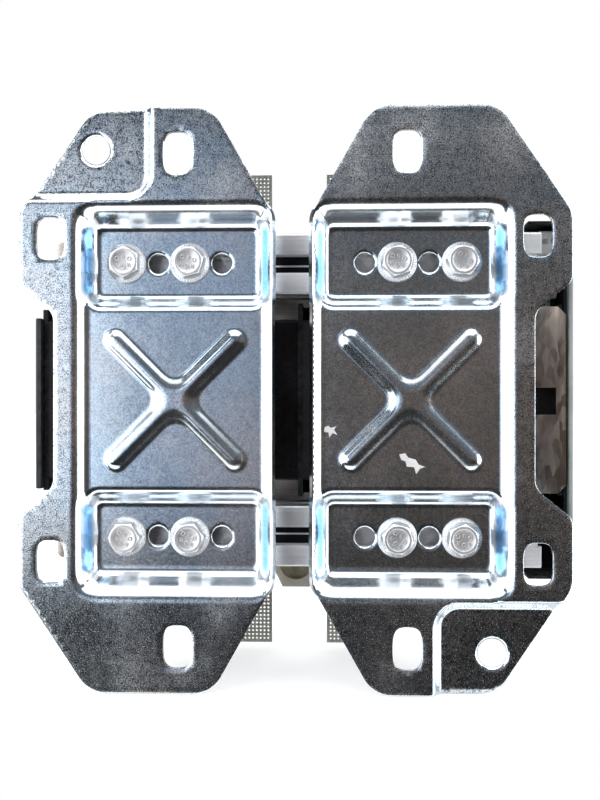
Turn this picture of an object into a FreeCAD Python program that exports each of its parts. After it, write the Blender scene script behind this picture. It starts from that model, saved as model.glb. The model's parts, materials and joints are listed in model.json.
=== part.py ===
"""Magnetic lock for a pair of doors: two electromagnets on two slotted rails, held to the frame by two
pressed steel mounting plates, with an armature plate and a perforated leaf panel for each door leaf.

Millimetres.  X runs along the lock, Z is up, and Y runs from the mounting face (Y = 0) towards the doors.
"""
import FreeCAD, Part

import math
import os

V = FreeCAD.Vector
OUT = "parts"

# ---- driving dimensions ----------------------------------------------------------------------------------
SHEET = 2.5                  # pressed mounting plate
PLATE_INNER = 7.2            # inner edge of each mounting plate, from the middle of the lock
PLATE_WIDTH = 114.5
PLATE_HALF_HEIGHT = 129.0
PANEL_DEPTH = 4.0            # how far the crossed panel is pressed in
PAD_DEPTH = 11.0             # how far the bolt pads are pressed in
JOGGLE_DEPTH = 4.75          # how far the stepped corner is pressed in
RIB_HEIGHT = 3.0             # how far the cross stands up out of its panel
BOLT_ROW_Z = 61.5            # rows of bolts, and so the middle of each rail
BOLT_PITCH = 14.4
BOLT_FIRST_X = 32.1          # hole of a pad nearest the middle of the lock
RAIL_SIZE = 27.5
RAIL_X = (-103.0, 111.0)
SLOT_WIDTH = 8.2
MAGNET_LENGTH = 115.0
MAGNET_HEIGHT = 73.0
MAGNET_Y = (18.0, 58.0)      # back of a magnet housing, and its pole face
CENTRE_BRACKET_X = (1.9, 4.1)
ARMATURE = (84.0, 13.0, 61.0)
ARMATURE_X = 59.3            # middle of each armature, left and right
FACE_GAP = 0.3               # clearance between pole face and armature
LEAF_PANEL_X = (14.3, 104.3)
LEAF_PANEL_Z = (-126.5, 117.5)
LEAF_PANEL_Y = 84.0
LEAF_PANEL_SHEET = 1.5
LEAF_PANEL_FOOT = (47.5, -92.0)   # the lower outer corner is cut back to here, clear of the plate slots
PIN_TRAVEL = 3.0
TRAY_X = (106.2, 123.4)
TRAY_HALF_HEIGHT = 81.0
SIDE_PLATE_X = (123.6, 125.4)
CAM_Z = -78.0

# ---- worked out ------------------------------------------------------------------------------------------
PLATE_MIDDLE = PLATE_INNER + PLATE_WIDTH / 2.0
PAD_BACK = PAD_DEPTH + SHEET
RAIL_Y = (PAD_BACK + 0.05, PAD_BACK + 0.05 + RAIL_SIZE)
HALF_RAIL = RAIL_SIZE / 2.0
CHASSIS_Y = (RAIL_Y[1], RAIL_Y[1] + 2.5)
HALF_MAGNET = MAGNET_HEIGHT / 2.0
LEFT_MAGNET_X = (CENTRE_BRACKET_X[0] - MAGNET_LENGTH, CENTRE_BRACKET_X[0])
RIGHT_MAGNET_X = (CENTRE_BRACKET_X[1], CENTRE_BRACKET_X[1] + MAGNET_LENGTH)
ARMATURE_Y = (MAGNET_Y[1] + FACE_GAP, MAGNET_Y[1] + FACE_GAP + ARMATURE[1])
BOLT_HOLES_X = [BOLT_FIRST_X + BOLT_PITCH * i for i in range(4)]
FITTED_HOLES_X = [BOLT_HOLES_X[1], BOLT_HOLES_X[3]]
SIDES = {"left": -1.0, "right": 1.0}


# ---- helpers ---------------------------------------------------------------------------------------------
def box(x, y, z):
    """A box between two values on each axis."""
    low = [min(x), min(y), min(z)]
    size = [abs(x[1] - x[0]), abs(y[1] - y[0]), abs(z[1] - z[0])]
    return Part.makeBox(size[0], size[1], size[2], V(low[0], low[1], low[2]))


def rod(radius, start, end):
    """A round bar between two points."""
    start = V(*start)
    along = V(*end) - start
    return Part.makeCylinder(radius, along.Length, start, along)


def cone(radius_start, radius_end, start, end):
    """A tapered round bar between two points."""
    start = V(*start)
    along = V(*end) - start
    return Part.makeCone(radius_start, radius_end, along.Length, start, along)


def rounded_wire(corners, y):
    """A closed outline in the plane Y = y.  Each corner is (x, z, radius)."""
    points = [V(x, y, z) for x, z, _ in corners]
    edges = []
    ends = []
    for i, (_, _, radius) in enumerate(corners):
        here = points[i]
        to_last = (points[i - 1] - here).normalize()
        to_next = (points[(i + 1) % len(points)] - here).normalize()
        if radius <= 0.0:
            ends.append((here, None, here))
            continue
        half_angle = to_last.getAngle(to_next) / 2.0
        reach = radius / math.tan(half_angle)
        bisector = (to_last + to_next).normalize()
        middle = here + bisector * (radius / math.sin(half_angle) - radius)
        ends.append((here + to_last * reach, middle, here + to_next * reach))
    for i, (start, middle, end) in enumerate(ends):
        if middle is not None:
            edges.append(Part.Arc(start, middle, end).toShape())
        following = ends[(i + 1) % len(ends)][0]
        if (following - end).Length > 1e-6:
            edges.append(Part.LineSegment(end, following).toShape())
    return Part.Wire(edges)


def slab(corners, y):
    """An outline of (x, z, radius) corners, solid between two values of Y."""
    return Part.Face(rounded_wire(corners, y[0])).extrude(V(0, y[1] - y[0], 0))


def rectangle(x, z, radius):
    """Corners of a rounded rectangle."""
    return [(x[0], z[0], radius), (x[1], z[0], radius), (x[1], z[1], radius), (x[0], z[1], radius)]


def grown(x, z, radius, by):
    """Corners of a rounded rectangle, grown on every side."""
    return rectangle((x[0] - by, x[1] + by), (z[0] - by, z[1] + by), radius + by)


def dished(x, z, radius, y_floor, y_rim, spread):
    """A sloping-walled block: the given rectangle at y_floor, wider by spread at y_rim."""
    floor = rounded_wire(rectangle(x, z, radius), y_floor)
    rim = rounded_wire(grown(x, z, radius, spread), y_rim)
    return Part.makeLoft([rim, floor], True, True)


def half_turn(shape):
    """The shape turned half a turn about the Y axis."""
    turned = shape.copy()
    turned.rotate(V(0, 0, 0), V(0, 1, 0), 180)
    return turned


def moved(shape, x, y, z):
    """A copy of the shape, moved."""
    other = shape.copy()
    other.translate(V(x, y, z))
    return other


def group(shapes):
    """Separate solids that share one node."""
    return Part.makeCompound(shapes)


NODES = {}


def keep(name, shape):
    """Files a finished piece under its node's name."""
    NODES[name] = shape


# ---- mounting plates -------------------------------------------------------------------------------------
def plate_outline():
    """Corners of the right-hand plate's outline: two tapering wings, and two ears on the outer side."""
    inner = PLATE_INNER
    ear = PLATE_INNER + PLATE_WIDTH
    waist = ear - 16.1
    upper = [
        (waist, 38.5, 8.0),
        (ear, 51.5, 6.0),
        (ear, 81.5, 13.0),
        (PLATE_MIDDLE + 25.3, PLATE_HALF_HEIGHT, 14.0),
        (PLATE_MIDDLE - 29.0, PLATE_HALF_HEIGHT, 14.0),
        (inner, 81.0, 8.0),
    ]
    lower = [(x, -z, radius) for x, z, radius in reversed(upper)]
    return lower + upper


def double_d(x, z):
    """A slot with two flats: a round hole cut down to a narrower width."""
    bore = rod(9.35, (x, -5, z), (x, 25, z))
    return bore.common(box((x - 6.35, x + 6.35), (-6, 26), (z - 10, z + 10)))


PAD_X = (17.0, 87.0)
PAD_Z = (BOLT_ROW_Z - 13.6, BOLT_ROW_Z + 13.6)
PANEL_X = (13.8, 90.5)
PANEL_Z = (-38.4, 38.4)
JOGGLE_X = (66.0, 160.0)
JOGGLE_Z = (-160.0, -92.0)
EAR_SLOT = (PLATE_MIDDLE + 42.6, 71.5)
WING_SLOT = (PLATE_MIDDLE - 14.0, 108.7)
CORNER_HOLE = (PLATE_MIDDLE + 23.4, -111.4)
CORNER_HOLE_R = 6.25


def sunk_areas(back):
    """The pressed-in areas, as blocks: their front hollows, or their backs one sheet thickness behind."""
    rise = SHEET if back else 0.0
    side = SHEET * (math.sqrt(2.0) - 1.0) if back else 0.0
    areas = []
    for x, z, radius, depth in (
        (PANEL_X, PANEL_Z, 5.0, PANEL_DEPTH),
        (PAD_X, PAD_Z, 3.0, PAD_DEPTH),
        (PAD_X, (-PAD_Z[1], -PAD_Z[0]), 3.0, PAD_DEPTH),
        (JOGGLE_X, JOGGLE_Z, 9.0, JOGGLE_DEPTH),
    ):
        x = (x[0] - side, x[1] + side)
        z = (z[0] - side, z[1] + side)
        areas.append(dished(x, z, radius + side, depth + rise, rise, depth))
    bridge_z = PAD_Z[0] - (PAD_DEPTH - PANEL_DEPTH)
    bridge = dished((PANEL_X[0] - side, PANEL_X[1] + side), (-bridge_z, bridge_z), 5.0, PANEL_DEPTH + rise, rise,
                    PANEL_DEPTH)
    return areas + [bridge]


def rib_cross(y_foot, y_top, half_width, slope):
    """The raised cross: two bars with round ends and sloping sides."""
    middle = (PANEL_X[0] + PANEL_X[1]) / 2.0
    reach = 36.0
    bars = []
    for turn in (45.0, -45.0):
        outlines = []
        for y, half in ((y_foot, half_width + slope), (y_top, half_width)):
            outlines.append(rounded_wire(rectangle((-reach - half, reach + half), (-half, half), half * 0.99), y))
        bar = Part.makeLoft(outlines, True, True)
        bar.rotate(V(0, 0, 0), V(0, 1, 0), turn)
        bar.translate(V(middle, 0, 0))
        bars.append(bar)
    return bars[0].fuse(bars[1])


def mounting_plate():
    """The right-hand plate."""
    outline = plate_outline()
    prism = slab(outline, (-1.0, PAD_BACK + 1.0))
    plate = slab(outline, (0.0, SHEET))
    for back in sunk_areas(True):
        plate = plate.fuse(back.common(prism))
    for hollow in sunk_areas(False):
        plate = plate.cut(hollow)
    plate = plate.cut(rib_cross(PANEL_DEPTH + SHEET, PANEL_DEPTH + SHEET - RIB_HEIGHT, 1.6, 3.0))
    plate = plate.fuse(rib_cross(PANEL_DEPTH, PANEL_DEPTH - RIB_HEIGHT, 2.2, 2.6))
    for x, z in (EAR_SLOT, (EAR_SLOT[0], -EAR_SLOT[1]), WING_SLOT, (WING_SLOT[0], -WING_SLOT[1])):
        plate = plate.cut(double_d(x, z))
    for x in BOLT_HOLES_X:
        for z in (BOLT_ROW_Z, -BOLT_ROW_Z):
            plate = plate.cut(rod(4.4, (x, 5, z), (x, 20, z)))
    x, z = CORNER_HOLE
    front = JOGGLE_DEPTH
    plate = plate.cut(rod(CORNER_HOLE_R, (x, 0, z), (x, 20, z)))
    plate = plate.cut(cone(CORNER_HOLE_R + 1.0, CORNER_HOLE_R, (x, front - 0.01, z), (x, front + 0.8, z)))
    return plate.removeSplitter()


def flange_bolt(x, z):
    """An M8 flange bolt, head towards the mounting face."""
    seat = PAD_DEPTH
    flange = rod(8.95, (x, seat - 1.3, z), (x, seat, z))
    skirt = cone(8.3, 6.9, (x, seat - 1.3, z), (x, seat - 2.6, z))
    hexagon = Part.makePolygon(
        [V(x + 7.3 * math.cos(math.radians(60 * i)), seat - 8.0, z + 7.3 * math.sin(math.radians(60 * i)))
         for i in range(7)]
    )
    head = Part.Face(hexagon).extrude(V(0, 7.0, 0))
    head = head.common(cone(6.5, 13.5, (x, seat - 8.0, z), (x, seat - 1.0, z)))
    shank = rod(4.0, (x, seat - 1.0, z), (x, seat + 11.0, z))
    return flange.fuse([skirt, head, shank]).removeSplitter()


def slot_nut(x, z):
    """An M8 nut that slides in a rail's front slot."""
    lip = 2.5
    body = box((x - 7, x + 7), (RAIL_Y[0] + lip + 0.1, RAIL_Y[0] + lip + 4.2), (z - 6.2, z + 6.2))
    neck = box((x - 7, x + 7), (RAIL_Y[0] + 0.3, RAIL_Y[0] + lip + 0.2), (z - 3.9, z + 3.9))
    return body.fuse(neck).cut(rod(4.05, (x, RAIL_Y[0] - 1, z), (x, RAIL_Y[1], z))).removeSplitter()


def fitted_holes(sign):
    """The holes of one plate that hold a bolt."""
    return [(sign * x, z) for x in FITTED_HOLES_X for z in (BOLT_ROW_Z, -BOLT_ROW_Z)]


right_plate = mounting_plate()
keep("right_mounting_plate", right_plate)
keep("left_mounting_plate", half_turn(right_plate))
for side, sign in SIDES.items():
    keep(side + "_plate_bolts", group([flange_bolt(x, z) for x, z in fitted_holes(sign)]))
    keep(side + "_slot_nuts", group([slot_nut(x, z) for x, z in fitted_holes(sign)]))


# ---- rails -----------------------------------------------------------------------------------------------
def rail(z_middle):
    """A square slotted rail along X."""
    y_middle = (RAIL_Y[0] + RAIL_Y[1]) / 2.0
    half = HALF_RAIL
    bar = box(RAIL_X, (-half, half), (-half, half))
    long_edges = [e for e in bar.Edges if abs(e.Length - (RAIL_X[1] - RAIL_X[0])) < 1e-3]
    bar = bar.makeFillet(1.2, long_edges)
    cut_x = (RAIL_X[0] - 1, RAIL_X[1] + 1)
    lip = 2.5
    deep = half - 9.0
    for quarter in range(4):
        mouth = box(cut_x, (-half - 1, -half + lip + 0.1), (-SLOT_WIDTH / 2.0, SLOT_WIDTH / 2.0))
        profile = [V(cut_x[0], -half + lip, -6.4), V(cut_x[0], -half + lip, 6.4), V(cut_x[0], -6.8, 6.4),
                   V(cut_x[0], -deep, 3.4), V(cut_x[0], -deep, -3.4), V(cut_x[0], -6.8, -6.4)]
        cavity = Part.Face(Part.makePolygon(profile + [profile[0]])).extrude(V(cut_x[1] - cut_x[0], 0, 0))
        slot = mouth.fuse(cavity)
        slot.rotate(V(0, 0, 0), V(1, 0, 0), 90 * quarter)
        bar = bar.cut(slot)
    bar = bar.cut(rod(2.2, (cut_x[0], 0, 0), (cut_x[1], 0, 0)))
    return moved(bar, 0, y_middle, z_middle)


keep("upper_rail", rail(BOLT_ROW_Z))
keep("lower_rail", rail(-BOLT_ROW_Z))


# ---- tie plates and brackets -----------------------------------------------------------------------------
TIE_X = (-115.4, 106.0)
TIE_Z = (HALF_MAGNET + 0.8, 76.0)
TIE_SCREW_X = (-90.0, -30.0, 30.0, 90.0)
TIE_SCREW_POINTS = [(x, z) for x in TIE_SCREW_X for z in (BOLT_ROW_Z, -BOLT_ROW_Z)]
EAR_Z = (HALF_MAGNET + 1.7, 44.5)
EAR_SHEET = 2.2
LEFT_BRACKET_X = (LEFT_MAGNET_X[0] - 2.4, LEFT_MAGNET_X[0])
RIGHT_BRACKET_X = (RIGHT_MAGNET_X[1], RIGHT_MAGNET_X[1] + EAR_SHEET)
EAR_REACH = 12.0
EAR_SCREW_X = [LEFT_BRACKET_X[1] + 6.5, CENTRE_BRACKET_X[1] + 6.5, RIGHT_BRACKET_X[0] - 6.5]
EAR_SCREW_Z = (EAR_Z[0] + EAR_Z[1]) / 2.0
M4_HOLE = 2.1


def drilled(shape, radius, x, y, z):
    """The shape with a hole along Y."""
    return shape.cut(rod(radius, (x, y[0] - 1, z), (x, y[1] + 1, z)))


def tie_plate(sign):
    """The flat strip behind one rail, which the brackets are screwed to."""
    z = sorted(sign * value for value in TIE_Z)
    plate = slab(rectangle(TIE_X, z, 3.0), CHASSIS_Y)
    if sign < 0:
        plate = drilled(plate, 9.2, 0, CHASSIS_Y, CAM_Z)
    for x in TIE_SCREW_X:
        plate = drilled(plate, 2.7, x, CHASSIS_Y, sign * BOLT_ROW_Z)
    for x in EAR_SCREW_X[:2]:
        plate = drilled(plate, M4_HOLE, x, CHASSIS_Y, sign * EAR_SCREW_Z)
    return plate


def button_screw(start, direction, radius, length, head_radius, head_height):
    """A button-headed screw: start is under its head, and direction is the way its shank points."""
    start = V(*start)
    direction = V(*direction)
    shank = Part.makeCylinder(radius, length, start, direction)
    head = Part.makeCone(head_radius, head_radius * 0.62, head_height, start, direction * -1)
    socket = Part.makeCylinder(radius * 0.6, head_height * 0.6, start - direction * head_height * 1.05, direction)
    return shank.fuse(head).cut(socket)


def rear_nut(x, z):
    """An M5 nut in a rail's rear slot."""
    block = box((x - 5, x + 5), (RAIL_Y[1] - 6.6, RAIL_Y[1] - 2.6), (z - 6.1, z + 6.1))
    return drilled(block, 2.55, x, RAIL_Y, z)


def bracket(x, ear_x, screw_x, half_height):
    """An upright web between the rails, with two rear ears that lie on the tie plates."""
    web = box(x, (MAGNET_Y[0] + 0.2, CHASSIS_Y[0]), (-half_height, half_height))
    ears = []
    for sign in (1.0, -1.0):
        z = (sign * EAR_Z[0], sign * min(EAR_Z[1], half_height))
        ear_y = (CHASSIS_Y[0] - EAR_SHEET, CHASSIS_Y[0])
        ear = box((min(x[0], ear_x), max(x[1], ear_x)), ear_y, z)
        ears.append(drilled(ear, M4_HOLE, screw_x, ear_y, sign * EAR_SCREW_Z))
    web = web.fuse(ears)
    for z in MAGNET_SCREWS_Z:
        web = web.cut(rod(M4_HOLE, (x[0] - 1, MAGNET_SCREW_Y, z), (x[1] + 1, MAGNET_SCREW_Y, z)))
    return web.removeSplitter()


MAGNET_SCREW_Y = 30.0
MAGNET_SCREWS_Z = (-20.0, 20.0)
keep("upper_tie_plate", tie_plate(1.0))
keep("lower_tie_plate", tie_plate(-1.0))
keep("tie_screws", group([button_screw((x, CHASSIS_Y[1], z), (0, -1, 0), 2.5, 9.0, 4.7, 2.6)
                          for x, z in TIE_SCREW_POINTS]))
keep("tie_slot_nuts", group([rear_nut(x, z) for x, z in TIE_SCREW_POINTS]))
keep("left_bracket", bracket(LEFT_BRACKET_X, LEFT_BRACKET_X[1] + EAR_REACH, EAR_SCREW_X[0], 41.5))
keep("centre_bracket", bracket(CENTRE_BRACKET_X, CENTRE_BRACKET_X[1] + EAR_REACH, EAR_SCREW_X[1], 44.0))
keep("right_bracket", bracket(RIGHT_BRACKET_X, RIGHT_BRACKET_X[0] - EAR_REACH, EAR_SCREW_X[2], 43.0))


# ---- magnets ---------------------------------------------------------------------------------------------
WALL = 3.0
SMALL_SCREW_R = 2.0
STRAP_SCREWS_Z = (-25.0, 25.0)
STRAP_SCREW_X = 102.5


def magnet_housing(x):
    """A deep tub, open towards the armature."""
    shell = box(x, MAGNET_Y, (-HALF_MAGNET, HALF_MAGNET))
    long_edges = [e for e in shell.Edges if abs(e.Length - MAGNET_LENGTH) < 1e-3]
    shell = shell.makeFillet(1.5, long_edges)
    inside = box((x[0] + WALL, x[1] - WALL), (MAGNET_Y[0] + WALL, MAGNET_Y[1] + 5),
                 (-HALF_MAGNET + WALL, HALF_MAGNET - WALL))
    shell = shell.cut(inside)
    for z in MAGNET_SCREWS_Z:
        for end, inwards in ((x[0], 1.0), (x[1], -1.0)):
            start = (end - inwards, MAGNET_SCREW_Y, z)
            shell = shell.cut(rod(SMALL_SCREW_R + 0.05, start, (end + inwards * 2.6, MAGNET_SCREW_Y, z)))
    if x[0] > 0:
        for z in STRAP_SCREWS_Z:
            shell = drilled(shell, SMALL_SCREW_R + 0.05, STRAP_SCREW_X, (MAGNET_Y[0], MAGNET_Y[0] + 1.7), z)
    return shell


CORE_BACK = 9.0
CORE_HALF_HEIGHT = HALF_MAGNET - WALL - 0.2
LEG_OUTER = 9.5              # thickness of each outer leg
LEG_CENTRE_HALF = 9.5
COIL_SIDE = 11.5


def magnet_core(x):
    """A laminated E core: a back and three legs, the middle one shorter so that the coil goes round it."""
    x = (x[0] + WALL + 0.2, x[1] - WALL - 0.2)
    y0 = MAGNET_Y[0] + WALL + 0.2
    core = box(x, (y0, y0 + CORE_BACK), (-CORE_HALF_HEIGHT, CORE_HALF_HEIGHT))
    for sign in (1.0, -1.0):
        leg_z = (sign * (CORE_HALF_HEIGHT - LEG_OUTER), sign * CORE_HALF_HEIGHT)
        core = core.fuse(box(x, (y0, MAGNET_Y[1]), leg_z))
    leg_x = (x[0] + COIL_SIDE + 1.0, x[1] - COIL_SIDE - 1.0)
    core = core.fuse(box(leg_x, (y0, MAGNET_Y[1]), (-LEG_CENTRE_HALF, LEG_CENTRE_HALF)))
    return core.removeSplitter()


def racetrack(x, y, gap):
    """A ring round the middle leg, filling the space between the legs less a gap."""
    low = x[0] + WALL + 0.2
    high = x[1] - WALL - 0.2
    outer_half = CORE_HALF_HEIGHT - LEG_OUTER - gap
    inner_half = LEG_CENTRE_HALF + gap
    outer = slab(rectangle((low + gap, high - gap), (-outer_half, outer_half), 6.0), y)
    inner_x = (low + COIL_SIDE + 1.0 - gap, high - COIL_SIDE - 1.0 + gap)
    inner = slab(rectangle(inner_x, (-inner_half, inner_half), 0.0), (y[0] - 1, y[1] + 1))
    return outer.cut(inner)


for side, x in (("left", LEFT_MAGNET_X), ("right", RIGHT_MAGNET_X)):
    coil_y = MAGNET_Y[0] + WALL + 0.2 + CORE_BACK + 0.3
    keep(side + "_magnet_housing", magnet_housing(x))
    keep(side + "_magnet_core", magnet_core(x))
    keep(side + "_coil", racetrack(x, (coil_y, MAGNET_Y[1] - 8.0), 0.4))
    keep(side + "_potting", racetrack(x, (MAGNET_Y[1] - 7.9, MAGNET_Y[1] - 0.8), 0.05))


# ---- left end cap ----------------------------------------------------------------------------------------
CAP_X = (LEFT_BRACKET_X[0] - 2.7, LEFT_BRACKET_X[0] - 0.05)


def end_cap():
    """The cap over the left end: a plate with a softened rim and two holes round the screw heads."""
    cap = box(CAP_X, (15.2, MAGNET_Y[1] - 1.0), (-40.6, 37.4))
    rim = [e for e in cap.Edges if abs(e.BoundBox.XMin - CAP_X[0]) < 1e-3 and abs(e.BoundBox.XMax - CAP_X[0]) < 1e-3]
    cap = cap.makeFillet(0.8, rim)
    for z in MAGNET_SCREWS_Z:
        cap = cap.cut(rod(4.0, (CAP_X[0] - 1, MAGNET_SCREW_Y, z), (CAP_X[1] + 1, MAGNET_SCREW_Y, z)))
    return cap


keep("left_end_cap", end_cap())


# ---- control tray at the right end -----------------------------------------------------------------------
TRAY_WALL = 1.4
TRAY_FLOOR_Y = (CHASSIS_Y[0], CHASSIS_Y[0] + TRAY_WALL)
TRAY_FRONT = 19.0
BOARD_Y = (35.0, 36.6)
BOARD_X = (TRAY_X[0] + 5.6, TRAY_X[1] - TRAY_WALL - 0.4)
BOARD_Z = (44.4, 79.0)
LEAD_END = (118.2, 49.5)
LEAD_R = 1.6
STANDOFFS = [(BOARD_X[0] + 2.2, BOARD_Z[0] + 2.6), (BOARD_X[1] - 2.2, BOARD_Z[1] - 2.6)]


def control_tray():
    """A folded tray, open towards the mounting face, and notched for the right-hand magnet."""
    half = TRAY_HALF_HEIGHT
    tray = box(TRAY_X, TRAY_FLOOR_Y, (-half, half))
    for sign in (1.0, -1.0):
        tray = tray.fuse(box(TRAY_X, (TRAY_FRONT, TRAY_FLOOR_Y[1]), (sign * (half - TRAY_WALL), sign * half)))
    tray = tray.fuse(box((TRAY_X[1] - TRAY_WALL, TRAY_X[1]), (TRAY_FRONT, TRAY_FLOOR_Y[1]), (-half, half)))
    notch = box((TRAY_X[0] - 1, RIGHT_MAGNET_X[1] + 0.3), (TRAY_FLOOR_Y[0] - 1, TRAY_FLOOR_Y[1] + 1),
                (-TIE_Z[0], TIE_Z[0]))
    tray = tray.cut(notch)
    for z in MAGNET_SCREWS_Z:
        tray = tray.cut(rod(4.4, (TRAY_X[0] + 10, MAGNET_SCREW_Y, z), (TRAY_X[1] + 1, MAGNET_SCREW_Y, z)))
    for sign in (1.0, -1.0):
        tray = drilled(tray, M4_HOLE, EAR_SCREW_X[2], TRAY_FLOOR_Y, sign * EAR_SCREW_Z)
    tray = drilled(tray, 2.4, LEAD_END[0], TRAY_FLOOR_Y, LEAD_END[1])
    return tray.removeSplitter()


keep("control_tray", control_tray())
keep("side_plate", slab([(15.0, -82.0, 4.0), (46.0, -82.0, 4.0), (46.0, 82.0, 4.0), (15.0, 82.0, 4.0)], (0, 1.8)))
side_plate = NODES["side_plate"]
side_plate.rotate(V(0, 0, 0), V(0, 0, 1), 90)
side_plate.translate(V(SIDE_PLATE_X[1], 0, 0))
keep("circuit_board", box(BOARD_X, BOARD_Y, BOARD_Z))
keep("board_standoffs", group([rod(1.9, (x, BOARD_Y[1], z), (x, TRAY_FLOOR_Y[0], z)) for x, z in STANDOFFS]))


def terminal_block():
    """A white two-way terminal block with wire mouths on its lower side."""
    x = (112.6, 121.0)
    block = box(x, (24.0, BOARD_Y[0]), (66.0, 77.6))
    top = [e for e in block.Edges if e.BoundBox.YMax < 24.01]
    block = block.makeFillet(1.6, top)
    for i in range(2):
        middle = x[0] + 2.2 + 4.0 * i
        block = block.cut(rod(1.3, (middle, 29.5, 65), (middle, 29.5, 70)))
        block = block.cut(rod(1.4, (middle, 23, 72.5), (middle, 27, 72.5)))
    return block


keep("terminal_block", terminal_block())
keep("coil_connector", box((117.2, 121.2), (29.5, BOARD_Y[0]), (47.0, 57.0)).cut(
    box((118.0, 120.4), (31.0, 34.0), (46.0, 52.0))))
keep("relay", box((112.0, 120.4), (25.0, BOARD_Y[0]), (58.2, 64.8)))


def coil_leads():
    """Two short insulated wires from the connector down to the right-hand magnet."""
    return group([rod(0.55, (x, 32.5, 46.9), (x, 32.5, HALF_MAGNET + 0.05)) for x in (117.0, 118.3)])


def bent_tube(points, bend, radius):
    """A round tube along straight runs joined by equal bends."""
    points = [V(*point) for point in points]
    edges = []
    start = points[0]
    for before, corner, after in zip(points, points[1:], points[2:]):
        to_last = (before - corner).normalize()
        to_next = (after - corner).normalize()
        half_angle = to_last.getAngle(to_next) / 2.0
        reach = bend / math.tan(half_angle)
        middle = corner + (to_last + to_next).normalize() * (bend / math.sin(half_angle) - bend)
        entry = corner + to_last * reach
        leave = corner + to_next * reach
        edges.append(Part.LineSegment(start, entry).toShape())
        edges.append(Part.Arc(entry, middle, leave).toShape())
        start = leave
    edges.append(Part.LineSegment(start, points[-1]).toShape())
    path = Part.Wire(edges)
    profile = Part.Wire(Part.Circle(points[0], points[1] - points[0], radius).toShape())
    return path.makePipeShell([profile], True, False)


LEAD_Y = CHASSIS_Y[1] + LEAD_R + 0.4
LEAD_START_X = -55.0


def left_coil_lead():
    """The sleeved lead from the left-hand magnet to the back of the circuit board."""
    route = [(LEAD_START_X, LEAD_Y, HALF_MAGNET + 0.05), (LEAD_START_X, LEAD_Y, LEAD_END[1]),
             (LEAD_END[0], LEAD_Y, LEAD_END[1]), (LEAD_END[0], BOARD_Y[1] + 0.05, LEAD_END[1])]
    return bent_tube(route, 4.0, LEAD_R)


def lead_clip(x):
    """A nylon saddle that holds the lead on the upper tie plate."""
    z = LEAD_END[1]
    saddle = box((x - 3, x + 3), (CHASSIS_Y[1], LEAD_Y + 2.9), (z - 4.0, z + 4.0))
    crown = [e for e in saddle.Edges if e.BoundBox.YMin > LEAD_Y + 2.8 and e.BoundBox.XLength > 5.9]
    saddle = saddle.makeFillet(2.4, crown)
    return saddle.cut(rod(LEAD_R + 0.1, (x - 4, LEAD_Y, z), (x + 4, LEAD_Y, z)))


keep("coil_leads", coil_leads())
keep("left_coil_lead", left_coil_lead())
keep("lead_clips", group([lead_clip(x) for x in (-20.0, 35.0, 85.0)]))


# ---- strap -----------------------------------------------------------------------------------------------
STRAP_X = (98.0, 122.6)
STRAP_Y = (MAGNET_Y[0] - 2.0, MAGNET_Y[0])
STRAP_HALF_HEIGHT = 42.0


def strap():
    """The galvanised strap at the right end: clipped corners and a square-cornered opening."""
    clip = 3.7
    half = STRAP_HALF_HEIGHT
    corners = [(STRAP_X[0], -half, 0), (STRAP_X[1] - clip, -half, 0.6), (STRAP_X[1], -half + clip, 0.6),
               (STRAP_X[1], half - clip, 0.6), (STRAP_X[1] - clip, half, 0.6), (STRAP_X[0], half, 0)]
    plate = slab(corners, STRAP_Y)
    plate = plate.cut(box((108.7, 118.1), (0, 30), (-6.7, 5.6)))
    for z in STRAP_SCREWS_Z:
        plate = plate.cut(rod(2.1, (STRAP_SCREW_X, 0, z), (STRAP_SCREW_X, 30, z)))
    return plate


keep("strap_bracket", strap())


# ---- cam and wire cover ----------------------------------------------------------------------------------
BOSS_Y = (CHASSIS_Y[1], CHASSIS_Y[1] + 12.0)
CAM_SHAFT_R = 3.0
COVER_X = (-95.0, 95.0)
COVER_Z = (-68.0, -49.0)
COVER_Y = (CHASSIS_Y[1], BOSS_Y[1] + 1.2)


def cam_boss():
    """The moulded block that carries the cam: its front face is level with the back of the lower tie plate."""
    outline = [(-6.6, CAM_Z - 12.0, 1.0), (6.6, CAM_Z - 12.0, 1.0), (10.0, CAM_Z - 5.0, 2.0),
               (10.0, CAM_Z + 9.5, 1.0), (-10.0, CAM_Z + 9.5, 1.0), (-10.0, CAM_Z - 5.0, 2.0)]
    block = slab(outline, BOSS_Y)
    return block.cut(rod(CAM_SHAFT_R + 0.05, (0, 0, CAM_Z), (0, 90, CAM_Z)))


def cam():
    """A coin-slotted disc on a shaft, with a tongue behind the boss that laps over the wire cover."""
    face = rod(8.0, (0, BOSS_Y[0] - 1.8, CAM_Z), (0, BOSS_Y[0] - 0.1, CAM_Z))
    shaft = rod(CAM_SHAFT_R, (0, BOSS_Y[0] - 0.2, CAM_Z), (0, COVER_Y[1] + 2.4, CAM_Z))
    tongue = slab(rectangle((-3.5, 3.5), (CAM_Z - 3.5, CAM_Z + 18.0), 2.0), (COVER_Y[1] + 0.3, COVER_Y[1] + 2.4))
    slot = box((-1.6, 1.6), (BOSS_Y[0] - 3, BOSS_Y[0] - 0.7), (CAM_Z - 5.5, CAM_Z + 5.5))
    return face.fuse([shaft, tongue]).cut(slot)


def wire_cover():
    """A folded channel behind the lower rail, over the supply cable's way in."""
    thick = 1.2
    cover = box(COVER_X, (COVER_Y[1] - thick, COVER_Y[1]), COVER_Z)
    cover = cover.fuse(box(COVER_X, COVER_Y, (COVER_Z[0], COVER_Z[0] + thick)))
    cover = cover.fuse(box(COVER_X, COVER_Y, (COVER_Z[1] - thick, COVER_Z[1])))
    return cover.removeSplitter()


keep("cam_boss", cam_boss())
keep("cam_stud", cam())
keep("wire_cover", wire_cover())


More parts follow.
